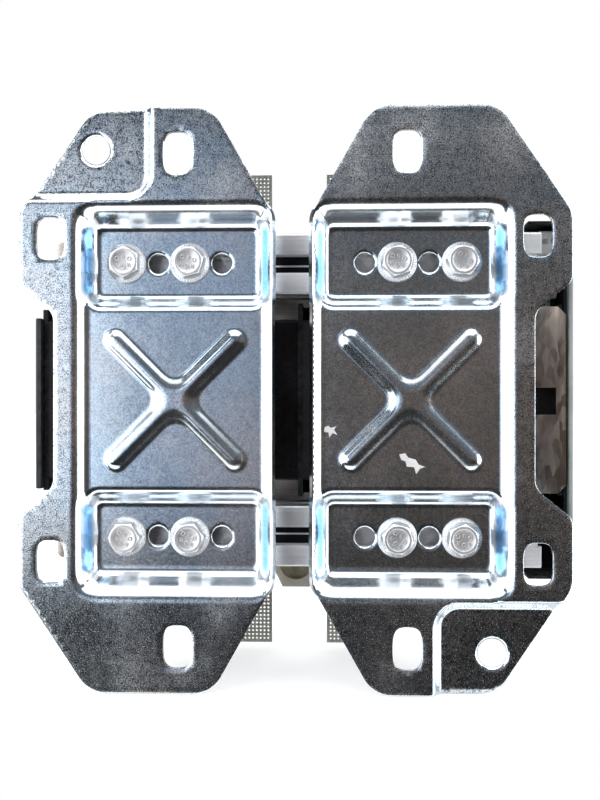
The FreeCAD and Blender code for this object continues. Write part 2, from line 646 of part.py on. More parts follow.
# ---- small screws ----------------------------------------------------------------------------------------
def small_screw(start, direction, length):
    """One of the M4 button-headed screws that hold the brackets, magnets and strap."""
    return button_screw(start, direction, SMALL_SCREW_R, length, 3.6, 2.0)


screws = []
for z in MAGNET_SCREWS_Z:
    screws.append(small_screw((RIGHT_BRACKET_X[1], MAGNET_SCREW_Y, z), (-1, 0, 0), 4.6))
    screws.append(small_screw((LEFT_BRACKET_X[0], MAGNET_SCREW_Y, z), (1, 0, 0), 4.6))
for z in STRAP_SCREWS_Z:
    screws.append(small_screw((STRAP_SCREW_X, STRAP_Y[0], z), (0, 1, 0), 3.6))
for x in EAR_SCREW_X:
    for z in (EAR_SCREW_Z, -EAR_SCREW_Z):
        screws.append(small_screw((x, CHASSIS_Y[0] - EAR_SHEET, z), (0, 1, 0), 4.5))
keep("small_screws", group(screws))


# ---- armatures and leaf panels ---------------------------------------------------------------------------
BAR_Y = (LEAF_PANEL_Y - 5.0, LEAF_PANEL_Y)
PIN_OFFSET = 27.0
PIN_BORE_Y = ARMATURE_Y[0] + 5.2
GUIDE_OFFSET = 33.0
SCREW_OFFSET = (36.0, 9.0)


def guide_points(middle):
    """Where the two guide pins stand, in opposite corners."""
    return [(middle - GUIDE_OFFSET, -20.0), (middle + GUIDE_OFFSET, 20.0)]


def armature(middle):
    """The steel plate that the magnet holds."""
    half = ARMATURE[0] / 2.0
    plate = box((middle - half, middle + half), ARMATURE_Y, (-ARMATURE[2] / 2.0, ARMATURE[2] / 2.0))
    uprights = [e for e in plate.Edges if abs(e.Length - ARMATURE[1]) < 1e-3]
    plate = plate.makeFillet(2.0, uprights)
    face, back = ARMATURE_Y
    plate = plate.cut(rod(4.5, (middle, face - 1, 0), (middle, back + 1, 0)))
    plate = plate.cut(rod(9.5, (middle, face - 1, 0), (middle, face + 7.0, 0)))
    plate = plate.cut(rod(2.55, (middle + PIN_OFFSET, face - 1, 0), (middle + PIN_OFFSET, back + 1, 0)))
    plate = plate.cut(rod(3.6, (middle + PIN_OFFSET, PIN_BORE_Y, 0), (middle + PIN_OFFSET, back + 1, 0)))
    for x, z in guide_points(middle):
        plate = plate.cut(rod(3.3, (x, back - 9, z), (x, back + 1, z)))
    return plate


def helix_spring(x, z, y0, y1, coil_radius, wire_radius, turns):
    """A round-wire spring along Y."""
    pitch = (y1 - y0 - 2 * wire_radius) / turns
    helix = Part.makeHelix(pitch, pitch * turns, coil_radius)
    profile = Part.Wire(Part.Circle(V(coil_radius, 0, 0), V(0, 1, 0), wire_radius).toShape())
    spring = Part.Wire(helix).makePipeShell([profile], True, True)
    spring.rotate(V(0, 0, 0), V(1, 0, 0), -90)
    spring.translate(V(x, y0 + wire_radius, z))
    return spring


def leaf_panel(sign, middle):
    """The perforated sheet that spreads the load over the door leaf.  Its fine holes are left out here."""
    sheet_y = (LEAF_PANEL_Y, LEAF_PANEL_Y + LEAF_PANEL_SHEET)
    inner, outer = LEAF_PANEL_X
    foot, shoulder = LEAF_PANEL_FOOT
    bottom, top = LEAF_PANEL_Z
    corners = [(inner, bottom), (foot, bottom), (foot, shoulder), (outer, shoulder), (outer, top), (inner, top)]
    sheet = slab([(sign * x, z, 2.0) for x, z in corners], sheet_y)
    sheet = sheet.cut(rod(6.1, (middle, 80, 0), (middle, 90, 0)))
    for dx in (-SCREW_OFFSET[0], SCREW_OFFSET[0]):
        for z in (-SCREW_OFFSET[1], SCREW_OFFSET[1]):
            sheet = sheet.cut(rod(2.1, (middle + dx, 80, z), (middle + dx, 90, z)))
    return sheet


def backing_bar(middle):
    """The bar between armature and panel."""
    bar = slab(rectangle((middle - 41.0, middle + 41.0), (-26.0, 26.0), 3.0), BAR_Y)
    bar = bar.cut(rod(6.1, (middle, 70, 0), (middle, 90, 0)))
    for x, z in guide_points(middle):
        bar = bar.cut(rod(3.02, (x, 70, z), (x, 90, z)))
    for dx in (-SCREW_OFFSET[0], SCREW_OFFSET[0]):
        for z in (-SCREW_OFFSET[1], SCREW_OFFSET[1]):
            bar = bar.cut(rod(2.05, (middle + dx, 70, z), (middle + dx, 90, z)))
    return bar


def armature_bolt(middle):
    """A socket screw that holds the armature, its head sunk in the plate."""
    seat = ARMATURE_Y[0] + 7.0
    head = rod(6.5, (middle, seat - 6.0, 0), (middle, seat, 0))
    shank = rod(4.0, (middle, seat, 0), (middle, LEAF_PANEL_Y, 0))
    socket = Part.Face(Part.makePolygon(
        [V(middle + 3.4 * math.cos(math.radians(60 * i)), seat - 6.1, 3.4 * math.sin(math.radians(60 * i)))
         for i in range(7)])).extrude(V(0, 3.6, 0))
    return head.fuse(shank).cut(socket)


def barrel_nut(middle):
    """The shouldered nut that goes through the door leaf from the far side."""
    sheet_back = LEAF_PANEL_Y + LEAF_PANEL_SHEET
    sleeve = rod(6.0, (middle, BAR_Y[0] + 0.5, 0), (middle, sheet_back, 0))
    flange = rod(10.0, (middle, sheet_back, 0), (middle, sheet_back + 2.0, 0))
    nut = sleeve.fuse(flange)
    nut = nut.cut(rod(4.05, (middle, 70, 0), (middle, LEAF_PANEL_Y + 0.1, 0)))
    return nut.cut(box((middle - 7.0, middle + 7.0), (sheet_back + 1.0, sheet_back + 3.0), (-0.8, 0.8)))


def rubber_washer(middle):
    """The rubber washer that lets the armature rock."""
    outer = rod(11.0, (middle, ARMATURE_Y[1] + 0.05, 0), (middle, BAR_Y[0] - 0.05, 0))
    return outer.cut(rod(4.3, (middle, 60, 0), (middle, 90, 0)))


for side, sign in SIDES.items():
    middle = sign * ARMATURE_X
    pin_x = middle + PIN_OFFSET
    sheet_back = LEAF_PANEL_Y + LEAF_PANEL_SHEET
    keep(side + "_armature", armature(middle))
    keep(side + "_armature_bolt", armature_bolt(middle))
    keep(side + "_rubber_washer", rubber_washer(middle))
    keep(side + "_backing_bar", backing_bar(middle))
    keep(side + "_guide_pins", group([rod(3.0, (x, ARMATURE_Y[1] - 6.0, z), (x, BAR_Y[1] - 0.2, z))
                                      for x, z in guide_points(middle)]))
    keep(side + "_leaf_panel", leaf_panel(sign, middle))
    keep(side + "_barrel_nut", barrel_nut(middle))
    keep(side + "_panel_screws", group([
        button_screw((middle + dx, sheet_back, z), (0, -1, 0), 2.0, 5.0, 3.6, 2.0)
        for dx in (-SCREW_OFFSET[0], SCREW_OFFSET[0]) for z in (-SCREW_OFFSET[1], SCREW_OFFSET[1])]))
    pin = rod(2.5, (pin_x, ARMATURE_Y[0] + 0.3, 0), (pin_x, PIN_BORE_Y + PIN_TRAVEL + 0.4, 0))
    collar = rod(3.5, (pin_x, PIN_BORE_Y + PIN_TRAVEL + 0.3, 0), (pin_x, PIN_BORE_Y + PIN_TRAVEL + 1.3, 0))
    keep(side + "_release_pin", pin.fuse(collar).removeSplitter())
    keep(side + "_release_spring", helix_spring(pin_x, 0, PIN_BORE_Y + PIN_TRAVEL + 1.4, BAR_Y[0] - 0.1,
                                                2.7, 0.35, 7))


# ---- write -----------------------------------------------------------------------------------------------
os.makedirs(OUT, exist_ok=True)
for name, shape in NODES.items():
    shape.exportStep(os.path.join(OUT, name + ".step"))
    box_of = shape.BoundBox
    print(f"{name:24s} solids {len(shape.Solids):2d} valid {shape.isValid()} volume {shape.Volume:10.1f} "
          f"x {box_of.XMin:7.1f} {box_of.XMax:7.1f} y {box_of.YMin:6.1f} {box_of.YMax:6.1f} "
          f"z {box_of.ZMin:7.1f} {box_of.ZMax:7.1f}")
print(len(NODES), "nodes")
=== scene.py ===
"""Looks of the double magnetic door lock: finishes, fine meshes, lights and camera round the CAD frame."""
from __future__ import annotations

import json
import logging
import math
from dataclasses import dataclass
from enum import Enum
from typing import Callable, Iterable, Sequence

import bmesh
import bpy
import numpy as np
from mathutils import Matrix, Vector, geometry

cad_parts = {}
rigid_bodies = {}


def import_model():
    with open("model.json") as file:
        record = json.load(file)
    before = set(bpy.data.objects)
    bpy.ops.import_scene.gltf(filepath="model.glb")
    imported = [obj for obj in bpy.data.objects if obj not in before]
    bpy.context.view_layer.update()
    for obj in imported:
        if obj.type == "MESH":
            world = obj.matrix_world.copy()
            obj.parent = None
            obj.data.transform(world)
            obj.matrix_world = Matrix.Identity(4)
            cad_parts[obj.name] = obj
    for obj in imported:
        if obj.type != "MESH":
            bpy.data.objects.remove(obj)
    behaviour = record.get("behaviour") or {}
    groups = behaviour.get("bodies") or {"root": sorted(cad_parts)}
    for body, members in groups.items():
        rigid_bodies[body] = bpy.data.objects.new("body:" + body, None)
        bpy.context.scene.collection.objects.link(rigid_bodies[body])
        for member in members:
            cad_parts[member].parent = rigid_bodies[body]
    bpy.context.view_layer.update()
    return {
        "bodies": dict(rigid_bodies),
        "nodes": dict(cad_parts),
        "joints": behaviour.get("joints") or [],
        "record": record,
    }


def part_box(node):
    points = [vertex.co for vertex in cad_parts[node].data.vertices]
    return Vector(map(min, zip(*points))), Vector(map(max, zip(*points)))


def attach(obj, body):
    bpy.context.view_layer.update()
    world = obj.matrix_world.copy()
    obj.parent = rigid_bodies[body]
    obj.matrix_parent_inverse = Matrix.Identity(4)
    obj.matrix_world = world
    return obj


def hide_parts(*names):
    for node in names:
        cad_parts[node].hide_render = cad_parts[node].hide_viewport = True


LOG = logging.getLogger("door_lock")
MM = 0.001
Colour = tuple[float, float, float]
Point = tuple[float, float, float]
Pair = tuple[float, float]
Path = list[tuple[float, float]]
Face = tuple[int, ...]
Node = bpy.types.Node
Socket = bpy.types.NodeSocket
Tree = bpy.types.NodeTree
Mesh = bpy.types.Mesh


class Body(str, Enum):
    """The CAD bodies that new pieces ride on."""

    LEFT_PLATE = "left_plate"
    RIGHT_PLATE = "right_plate"
    LEFT_LEAF = "left_leaf"
    RIGHT_LEAF = "right_leaf"


class Side(Enum):
    """The two halves of the lock, by the sign of X."""

    LEFT = -1.0
    RIGHT = 1.0

    @property
    def label(self) -> str:
        """The word that starts the names of this half's pieces."""
        return self.name.lower()

    @property
    def plate(self) -> Body:
        """The body of this half's mounting plate."""
        return Body(f"{self.label}_plate")

    @property
    def leaf(self) -> Body:
        """The body of this half's armature and leaf panel."""
        return Body(f"{self.label}_leaf")


# ---- node wiring -----------------------------------------------------------------------------------------
class Wiring:
    """Adds and joins the nodes of one node tree."""

    def __init__(self, tree: Tree) -> None:
        """Starts on a material's, world's or group's node tree."""
        self.tree = tree

    def add(self, kind: str, settings: dict[str, object] | None = None, **inputs: object) -> Node:
        """Adds a node.

        Args:
            kind: Blender's name for the node type.
            settings: values of the node's own properties.
            inputs: a value or a socket for each input, with _ for each space in its name.

        Returns:
            The node.
        """
        node = self.tree.nodes.new(kind)
        for key, value in (settings or {}).items():
            setattr(node, key, value)
        for key, value in inputs.items():
            self.feed(node.inputs[key.replace("_", " ")], value)
        return node

    def feed(self, socket: Socket, value: object) -> None:
        """Gives a socket a constant or a link."""
        if isinstance(value, Socket):
            self.tree.links.new(value, socket)
        else:
            socket.default_value = value

    def math(self, operation: str, first: object, second: object = 0.0, clamp: bool = False) -> Socket:
        """A math node.

        Args:
            operation: the node's operation.
            first: first value or socket.
            second: second value or socket.
            clamp: whether the result is held between 0 and 1.

        Returns:
            Its output.
        """
        node = self.add("ShaderNodeMath", {"operation": operation, "use_clamp": clamp})
        self.feed(node.inputs[0], first)
        self.feed(node.inputs[1], second)
        return node.outputs[0]

    def times(self, first: object, second: object) -> Socket:
        """Two values multiplied."""
        return self.math("MULTIPLY", first, second)

    def plus(self, first: object, second: object, clamp: bool = False) -> Socket:
        """Two values added, and held between 0 and 1 if asked."""
        return self.math("ADD", first, second, clamp)

    def span(self, value: object, low: float, high: float, out_low: float = 0.0,
             out_high: float = 1.0) -> Socket:
        """Maps a value from low..high onto out_low..out_high, held at both ends."""
        node = self.add("ShaderNodeMapRange", {"clamp": True}, Value=value, From_Min=low, From_Max=high,
                        To_Min=out_low, To_Max=out_high)
        return node.outputs[0]

    def mix(self, factor: object, first: object, second: object, blend: str = "MIX") -> Socket:
        """Mixes two colours.

        Args:
            factor: how much of the second.
            first: a colour or socket.
            second: a colour or socket.
            blend: the blend type.

        Returns:
            The colour's socket.
        """
        node = self.add("ShaderNodeMix", {"data_type": "RGBA", "blend_type": blend})
        self.feed(node.inputs[0], factor)
        for socket, value in ((node.inputs[6], first), (node.inputs[7], second)):
            self.feed(socket, (*value, 1.0) if isinstance(value, tuple) and len(value) == 3 else value)
        return node.outputs[2]

    def place(self, scale: Point = (1.0, 1.0, 1.0), turn: Point = (0.0, 0.0, 0.0)) -> Socket:
        """The point on the object, in metres, turned and stretched.

        Args:
            scale: the stretch along each axis.
            turn: the turn about each axis, in radians.

        Returns:
            The vector's socket.
        """
        where = self.add("ShaderNodeTexCoord").outputs["Object"]
        turned = self.add("ShaderNodeMapping", Vector=where, Rotation=turn).outputs[0]
        return self.add("ShaderNodeMapping", Vector=turned, Scale=scale).outputs[0]

    def noise(self, vector: object, scale: object, detail: float = 2.0, rough: float = 0.5) -> Socket:
        """Noise from 0 to 1, with its scale in features per metre and its detail in octaves."""
        made = self.add("ShaderNodeTexNoise", Vector=vector, Scale=scale, Detail=detail, Roughness=rough)
        return made.outputs[0]


class NodeKit:
    """The shader node groups that several finishes share, each built once."""

    def __init__(self) -> None:
        """Starts with no group built."""
        self.built: dict[str, Tree] = {}

    def group(self, outer: Wiring, name: str, inputs: dict[str, float], outputs: Iterable[str],
              wire: Callable[[Wiring, Node, Node], None], values: dict[str, object]) -> Node:
        """Places a group in a material, and builds it the first time.

        Args:
            outer: the material's wiring.
            name: the group's name.
            inputs: its float inputs and their defaults.
            outputs: the names of its float outputs.
            wire: joins the group's input node to its output node.
            values: values for its inputs in this material.

        Returns:
            The group's node.
        """
        if name not in self.built:
            tree = bpy.data.node_groups.new(name, "ShaderNodeTree")
            kind = "NodeSocketFloat"
            for label, value in inputs.items():
                tree.interface.new_socket(name=label, in_out="INPUT", socket_type=kind).default_value = value
            for label in outputs:
                tree.interface.new_socket(name=label, in_out="OUTPUT", socket_type=kind)
            net = Wiring(tree)
            wire(net, net.add("NodeGroupInput"), net.add("NodeGroupOutput"))
            self.built[name] = tree
        return outer.add("ShaderNodeGroup", {"node_tree": self.built[name]}, **values)

    def grain(self, net: Wiring, **values: object) -> Node:
        """Fine surface grain: a value round 0.5 and a height. Its inputs are Scale and Depth."""

        def wire(net: Wiring, start: Node, end: Node) -> None:
            """Joins the group's start node, which has its inputs, to its end node."""
            fine = net.noise(net.place(), start.outputs["Scale"], 3.0, 0.7)
            coarse = net.noise(net.place(), net.times(start.outputs["Scale"], 0.23), 2.0)
            both = net.plus(net.times(fine, 0.78), net.times(coarse, 0.22))
            net.feed(end.inputs["Value"], both)
            net.feed(end.inputs["Height"], net.times(both, start.outputs["Depth"]))

        return self.group(net, "fine_grain", {"Scale": 1200.0, "Depth": 1.0}, ("Value", "Height"), wire,
                          values)

    def brushed(self, net: Wiring, **values: object) -> Node:
        """Lines of a drawn or brushed surface, long along whichever axis has the small number."""

        def wire(net: Wiring, start: Node, end: Node) -> None:
            """Joins the group's start node, which has its inputs, to its end node."""
            where = net.add("ShaderNodeTexCoord").outputs["Object"]
            axes = {axis: start.outputs[axis] for axis in "XYZ"}
            scale = net.add("ShaderNodeCombineXYZ", **axes)
            vector = net.add("ShaderNodeVectorMath", {"operation": "MULTIPLY"})
            net.feed(vector.inputs[0], where)
            net.feed(vector.inputs[1], scale.outputs[0])
            lines = net.noise(vector.outputs[0], 1.0, 4.0, 0.65)
            net.feed(end.inputs["Value"], lines)
            net.feed(end.inputs["Height"], net.times(lines, start.outputs["Depth"]))

        return self.group(net, "brush_lines", {"X": 900.0, "Y": 900.0, "Z": 20.0, "Depth": 1.0},
                          ("Value", "Height"), wire, values)

    def scuffs(self, net: Wiring, **values: object) -> Node:
        """Patches of short crossing scratches, as a mask."""

        def wire(net: Wiring, start: Node, end: Node) -> None:
            """Joins the group's start node, which has its inputs, to its end node."""
            patch = net.span(net.noise(net.place(), start.outputs["Patch"], 3.0, 0.6), 0.50, 0.66)
            specks = net.span(net.noise(net.place(), 1300.0, 2.0, 0.7), 0.40, 0.60)
            total = net.times(specks, patch)
            for turn, stretch in ((0.5, 16.0), (-0.9, 22.0)):
                lines = net.noise(net.place((900.0, 40.0, 900.0 / stretch), (0.0, turn, 0.0)), 1.0, 1.0, 0.5)
                cut = net.span(lines, 0.70, 0.76, 0.0, 0.7)
                total = net.plus(total, net.times(cut, patch), True)
            net.feed(end.inputs["Mask"], net.times(total, start.outputs["Amount"]))

        return self.group(net, "scuff_marks", {"Patch": 28.0, "Amount": 1.0}, ("Mask",), wire, values)

    def worn_edge(self, net: Wiring, **values: object) -> Node:
        """Where an edge is rubbed bright, as a mask broken up by noise."""

        def wire(net: Wiring, start: Node, end: Node) -> None:
            """Joins the group's start node, which has its inputs, to its end node."""
            point = net.add("ShaderNodeNewGeometry").outputs["Pointiness"]
            rubbed = net.span(point, 0.515, 0.60)
            broken = net.span(net.noise(net.place(), start.outputs["Scale"], 3.0), 0.35, 0.62, 0.15, 1.0)
            net.feed(end.inputs["Mask"], net.times(net.times(rubbed, broken), start.outputs["Amount"]))

        return self.group(net, "rubbed_edge", {"Scale": 260.0, "Amount": 1.0}, ("Mask",), wire, values)


KIT = NodeKit()


# ---- finishes --------------------------------------------------------------------------------------------
@dataclass(frozen=True)
class Finish:
    """A finish: what every one has, and the material that it makes."""

    name: str
    colour: Colour
    slot: str

    def wire(self, net: Wiring, shader: Node) -> None:
        """Joins the finish's own nodes to the shader. Each kind of finish has its own."""
        raise NotImplementedError

    def material(self) -> bpy.types.Material:
        """Makes the material, or finds it.

        Returns:
            The material, named after the finish.
        """
        found = bpy.data.materials.get(self.name)
        if found is not None:
            return found
        made = bpy.data.materials.new(self.name)
        made.use_nodes = True
        made.node_tree.nodes.clear()
        net = Wiring(made.node_tree)
        shader = net.add("ShaderNodeBsdfPrincipled")
        net.add("ShaderNodeOutputMaterial", Surface=shader.outputs[0])
        self.wire(net, shader)
        made.diffuse_color = (*self.colour, 1.0)
        return made


def skin(net: Wiring, shader: Node, colour: object, rough: object, height: object, strength: float,
         depth: float, metallic: float = 0.0) -> None:
    """Feeds the parts that every finish has to its shader.

    Args:
        net: the material's wiring.
        shader: its Principled node.
        colour: the base colour's socket.
        rough: the roughness's socket.
        height: the height's socket, from 0 to 1.
        strength: how strongly the height shows.
        depth: how tall 1 is, in metres.
        metallic: 1 for bare metal.
    """
    relief = net.add("ShaderNodeBump", Height=height, Strength=strength, Distance=depth)
    for name, value in (("Base Color", colour), ("Roughness", rough), ("Metallic", metallic),
                        ("Normal", relief.outputs[0])):
        net.feed(shader.inputs[name], value)


@dataclass(frozen=True)
class ZincPlated(Finish):
    """Steel with bright bluish zinc: mirror-like where it was pressed, speckled where it was left flat, with
    faint draw lines, clouding and hazy scuffs. Its sloping walls carry a painted white reflection and its
    steep drawn walls a painted blue reflection, both in the base colour."""

    warm: Colour = (0.84, 0.88, 0.93)
    rough: Pair = (0.09, 0.20)
    scuff: float = 0.6
    speckle: Pair = (0.1, 1.8)
    # colours of the reflections painted on the sloping walls and on the steep drawn walls
    wall_white: Colour = (0.90, 0.96, 1.0)
    wall_blue: Colour = (0.16, 0.52, 1.0)
    haze: Colour = (0.95, 0.95, 0.96)
    pressed: Pair = (0.098, 0.088)
    step_x: float = 0.0634

    def wire(self, net: Wiring, shader: Node) -> None:
        """Wires the speckle, brush lines, clouding, scuffs and the painted wall reflections.

        Args:
            net: the material's wiring.
            shader: its Principled node.
        """
        where = net.add("ShaderNodeSeparateXYZ", Vector=net.place())
        far_x = net.math("ABSOLUTE", where.outputs["X"])
        far_z = net.math("ABSOLUTE", where.outputs["Z"])
        end_x, end_z = self.pressed
        flat = net.math("MAXIMUM", net.span(far_x, end_x - 0.006, end_x + 0.002, 0.28),
                        net.span(far_z, end_z - 0.006, end_z + 0.004, 0.28))
        facing = net.add("ShaderNodeSeparateXYZ", Vector=net.add("ShaderNodeTexCoord").outputs["Normal"])
        level_faces = net.span(net.math("ABSOLUTE", facing.outputs["Y"]), 0.80, 0.97)
        flat = net.times(flat, level_faces)
        # painted white reflection on every face that slopes away from the mounting face
        walls = net.span(net.math("ABSOLUTE", facing.outputs["Y"]), 0.70, 0.95, 1.0, 0.0)
        # painted blue reflection on the steep side walls of the drawn areas
        steep = net.span(net.math("ABSOLUTE", facing.outputs["X"]), 0.76, 0.87)
        steep = net.times(steep, self.inside_walls(net, where, far_x, far_z))
        grain = KIT.grain(net, Scale=1600.0)
        lines = KIT.brushed(net, X=1500.0, Y=1500.0, Z=45.0)
        scuffs = KIT.scuffs(net, Patch=22.0, Amount=self.scuff)
        cloud = net.noise(net.place(), 24.0, 3.0, 0.55)
        tint = net.mix(net.span(cloud, 0.42, 0.68), self.colour, self.warm)
        fleck = net.span(grain.outputs["Value"], 0.40, 0.60, *self.speckle)
        fleck = net.plus(1.0, net.times(net.math("SUBTRACT", fleck, 1.0), flat))
        shade = net.add("ShaderNodeCombineXYZ", X=fleck, Y=fleck, Z=fleck).outputs[0]
        # mixes the painted white and blue wall reflections into the base colour
        tint = net.mix(walls, net.mix(1.0, tint, shade, "MULTIPLY"), self.wall_white)
        tint = net.mix(steep, tint, self.wall_blue)
        flecks = net.span(net.noise(net.place(), 1700.0, 2.0, 0.6), 0.60, 0.70, 0.0, 0.85)
        rubbed = net.times(net.math("MAXIMUM", scuffs.outputs["Mask"], flecks), flat)
        level = net.plus(net.times(cloud, 0.5),
                            net.times(grain.outputs["Value"], 0.5))
        base = net.plus(net.span(level, 0.36, 0.62, *self.rough), net.times(flat, 0.05))
        rough = net.plus(base, net.times(rubbed, 0.35), True)
        height = net.times(net.plus(grain.outputs["Height"], net.times(lines.outputs["Height"], 0.35)), flat)
        skin(net, shader, net.mix(rubbed, tint, self.haze), rough, height, 0.35, 0.00006, 1.0)

    def inside_walls(self, net: Wiring, where: Node, far_x: Socket,
                     far_z: Socket) -> Socket:
        """Finds the drawn walls that get the painted blue reflection, and leaves out the plate's cut edges.

        Args:
            net: the material's wiring.
            where: the node that splits the point on the plate.
            far_x: how far the point is from the middle along X.
            far_z: how far it is along Z.

        Returns:
            A mask's socket.
        """
        dish = net.times(net.span(far_x, self.pressed[0], self.pressed[0] + 0.002, 1.0, 0.0),
                           net.span(far_z, self.pressed[1], self.pressed[1] + 0.002, 1.0, 0.0))
        off_step = net.math("ABSOLUTE", net.math("SUBTRACT", far_x, self.step_x))
        step = net.span(off_step, 0.0030, 0.0036, 1.0, 0.0)
        shallow = net.span(where.outputs["Y"], 0.0104, 0.0112, 1.0, 0.0)
        clear_of_gap = net.span(far_x, 0.0098, 0.0106)
        return net.times(net.math("MAXIMUM", dish, step),
                           net.times(shallow, clear_of_gap))


@dataclass(frozen=True)
class BareSteel(Finish):
    """Turned, ground, drawn or rolled metal with lines along one axis."""

    lines: Point = (900.0, 900.0, 30.0)
    rough: Pair = (0.22, 0.42)
    contrast: float = 0.25
    strength: float = 0.2
    wear: float = 0.3

    def wire(self, net: Wiring, shader: Node) -> None:
        """Wires the lines, fine grain and rubbed edges.

        Args:
            net: the material's wiring.
            shader: its Principled node.
        """
        lines = KIT.brushed(net, X=self.lines[0], Y=self.lines[1], Z=self.lines[2])
        grain = KIT.grain(net, Scale=900.0)
        edge = KIT.worn_edge(net, Amount=self.wear)
        dark = tuple(c * (1.0 - self.contrast) for c in self.colour)
        value = net.plus(net.times(lines.outputs["Value"], 0.6),
                            net.times(grain.outputs["Value"], 0.4))
        tint = net.mix(net.span(value, 0.38, 0.62), dark, self.colour)
        bright = tuple(min(1.0, c * 1.35 + 0.12) for c in self.colour)
        height = net.plus(lines.outputs["Height"], net.times(grain.outputs["Height"], 0.4))
        rough = net.span(value, 0.36, 0.64, *self.rough)
        tint = net.mix(edge.outputs["Mask"], tint, bright)
        skin(net, shader, tint, rough, height, self.strength, 0.0001, 1.0)


@dataclass(frozen=True)
class SlottedRail(BareSteel):
    """Drawn aluminium whose slots carry painted shade near the middle, with a thin line along each slot's
    middle left at the plain colour.
    """

    row: float = 0.0615
    half_slot: float = 0.0043
    mouth: float = 0.0158
    # how far from the middle, and in what colour, shade is painted into the slots
    greased: float = 0.022
    grease: Colour = (0.02, 0.02, 0.024)

    def wire(self, net: Wiring, shader: Node) -> None:
        """Wires the drawn metal, then paints shade into the slots.

        Args:
            net: the material's wiring.
            shader: its Principled node.
        """
        super().wire(net, shader)
        plain = shader.inputs["Base Color"].links[0].from_socket
        where = net.add("ShaderNodeSeparateXYZ", Vector=net.place())
        off = net.math("SUBTRACT", net.math("ABSOLUTE", where.outputs["Z"]), self.row)
        away = net.math("ABSOLUTE", off)
        in_slot = net.span(away, self.half_slot - 0.0002, self.half_slot + 0.0002, 1.0, 0.0)
        deep = net.span(where.outputs["Y"], self.mouth - 0.001, self.mouth + 0.001)
        line = net.span(away, 0.0003, 0.0005)
        far_x = net.math("ABSOLUTE", where.outputs["X"])
        near = net.span(far_x, self.greased, self.greased + 0.004, 1.0, 0.0)
        # painted shade: the slots go near black near the middle gap, where shade falls into them
        dark = net.times(net.times(in_slot, deep), net.times(line, near))
        net.feed(shader.inputs["Base Color"], net.mix(dark, plain, self.grease))


@dataclass(frozen=True)
class Spangled(Finish):
    """Galvanised sheet: crystal flakes in slightly different greys, with faint rolling lines."""

    other: Colour = (0.46, 0.42, 0.38)
    flake: float = 420.0
    rubbed: Colour = (0.8, 0.8, 0.8)

    def wire(self, net: Wiring, shader: Node) -> None:
        """Wires the flakes, lines and rubbed edges.

        Args:
            net: the material's wiring.
            shader: its Principled node.
        """
        cells = net.add("ShaderNodeTexVoronoi", {"feature": "F1"}, Vector=net.place((1.0, 1.0, 0.45)),
                           Scale=self.flake, Randomness=1.0)
        level = net.add("ShaderNodeSeparateColor", Color=cells.outputs["Color"]).outputs[0]
        lines = KIT.brushed(net, X=1400.0, Y=300.0, Z=60.0)
        edge = KIT.worn_edge(net, Amount=0.6)
        value = net.plus(net.times(level, 0.5),
                            net.times(lines.outputs["Value"], 0.5))
        tint = net.mix(net.span(value, 0.2, 0.8), self.colour, self.other)
        tint = net.mix(edge.outputs["Mask"], tint, self.rubbed)
        height = net.plus(lines.outputs["Height"], level)
        skin(net, shader, tint, net.span(value, 0.2, 0.8, 0.3, 0.5), height, 0.12, 0.00008, 1.0)


@dataclass(frozen=True)
class Coated(Finish):
    """Paint, powder coat or moulded plastic: an even skin with orange peel and rubbed or scratched edges."""

    rough: Pair = (0.4, 0.6)
    peel: float = 700.0
    strength: float = 0.2
    worn: Colour = (0.35, 0.35, 0.36)
    wear: float = 0.35
    vary: float = 0.12
    shine: float = 0.5

    def wire(self, net: Wiring, shader: Node) -> None:
        """Wires the skin's peel, clouding, scratches and rubbed edges.

        Args:
            net: the material's wiring.
            shader: its Principled node.
        """
        grain = KIT.grain(net, Scale=self.peel)
        scuffs = KIT.scuffs(net, Patch=40.0, Amount=self.wear)
        edge = KIT.worn_edge(net, Amount=self.wear)
        cloud = net.noise(net.place(), 60.0, 3.0)
        dark = tuple(c * (1.0 - self.vary) for c in self.colour)
        light = tuple(min(1.0, c * (1.0 + self.vary)) for c in self.colour)
        tint = net.mix(net.span(cloud, 0.35, 0.65), dark, light)
        rubbed = net.plus(edge.outputs["Mask"], net.times(scuffs.outputs["Mask"], 0.5), True)
        shader.inputs["Specular IOR Level"].default_value = self.shine
        rough = net.span(grain.outputs["Value"], 0.36, 0.64, *self.rough)
        tint = net.mix(rubbed, tint, self.worn)
        skin(net, shader, tint, rough, grain.outputs["Height"], self.strength, 0.0001)


@dataclass(frozen=True)
class Layered(Finish):
    """Stacked sheets or close-wound wire: dark lines at an even pitch along one axis."""

    pitch: float = 0.0005
    axis: str = "X"
    gap: Colour = (0.08, 0.07, 0.06)

    def wire(self, net: Wiring, shader: Node) -> None:
        """Wires the even lines and their grain.

        Args:
            net: the material's wiring.
            shader: its Principled node.
        """
        where = net.add("ShaderNodeSeparateXYZ", Vector=net.place()).outputs[self.axis]
        phase = net.times(where, 2.0 * math.pi / self.pitch)
        wave = net.math("SINE", phase)
        grain = KIT.grain(net, Scale=1100.0)
        level = net.plus(wave, net.span(grain.outputs["Value"], 0.3, 0.7, -0.5, 0.5))
        tint = net.mix(net.span(level, -1.1, -0.3), self.gap, self.colour)
        rough = net.span(level, -1.0, 1.0, 0.55, 0.26)
        skin(net, shader, tint, rough, net.span(level, -1.2, 0.2), 0.25, 0.00008, 1.0)


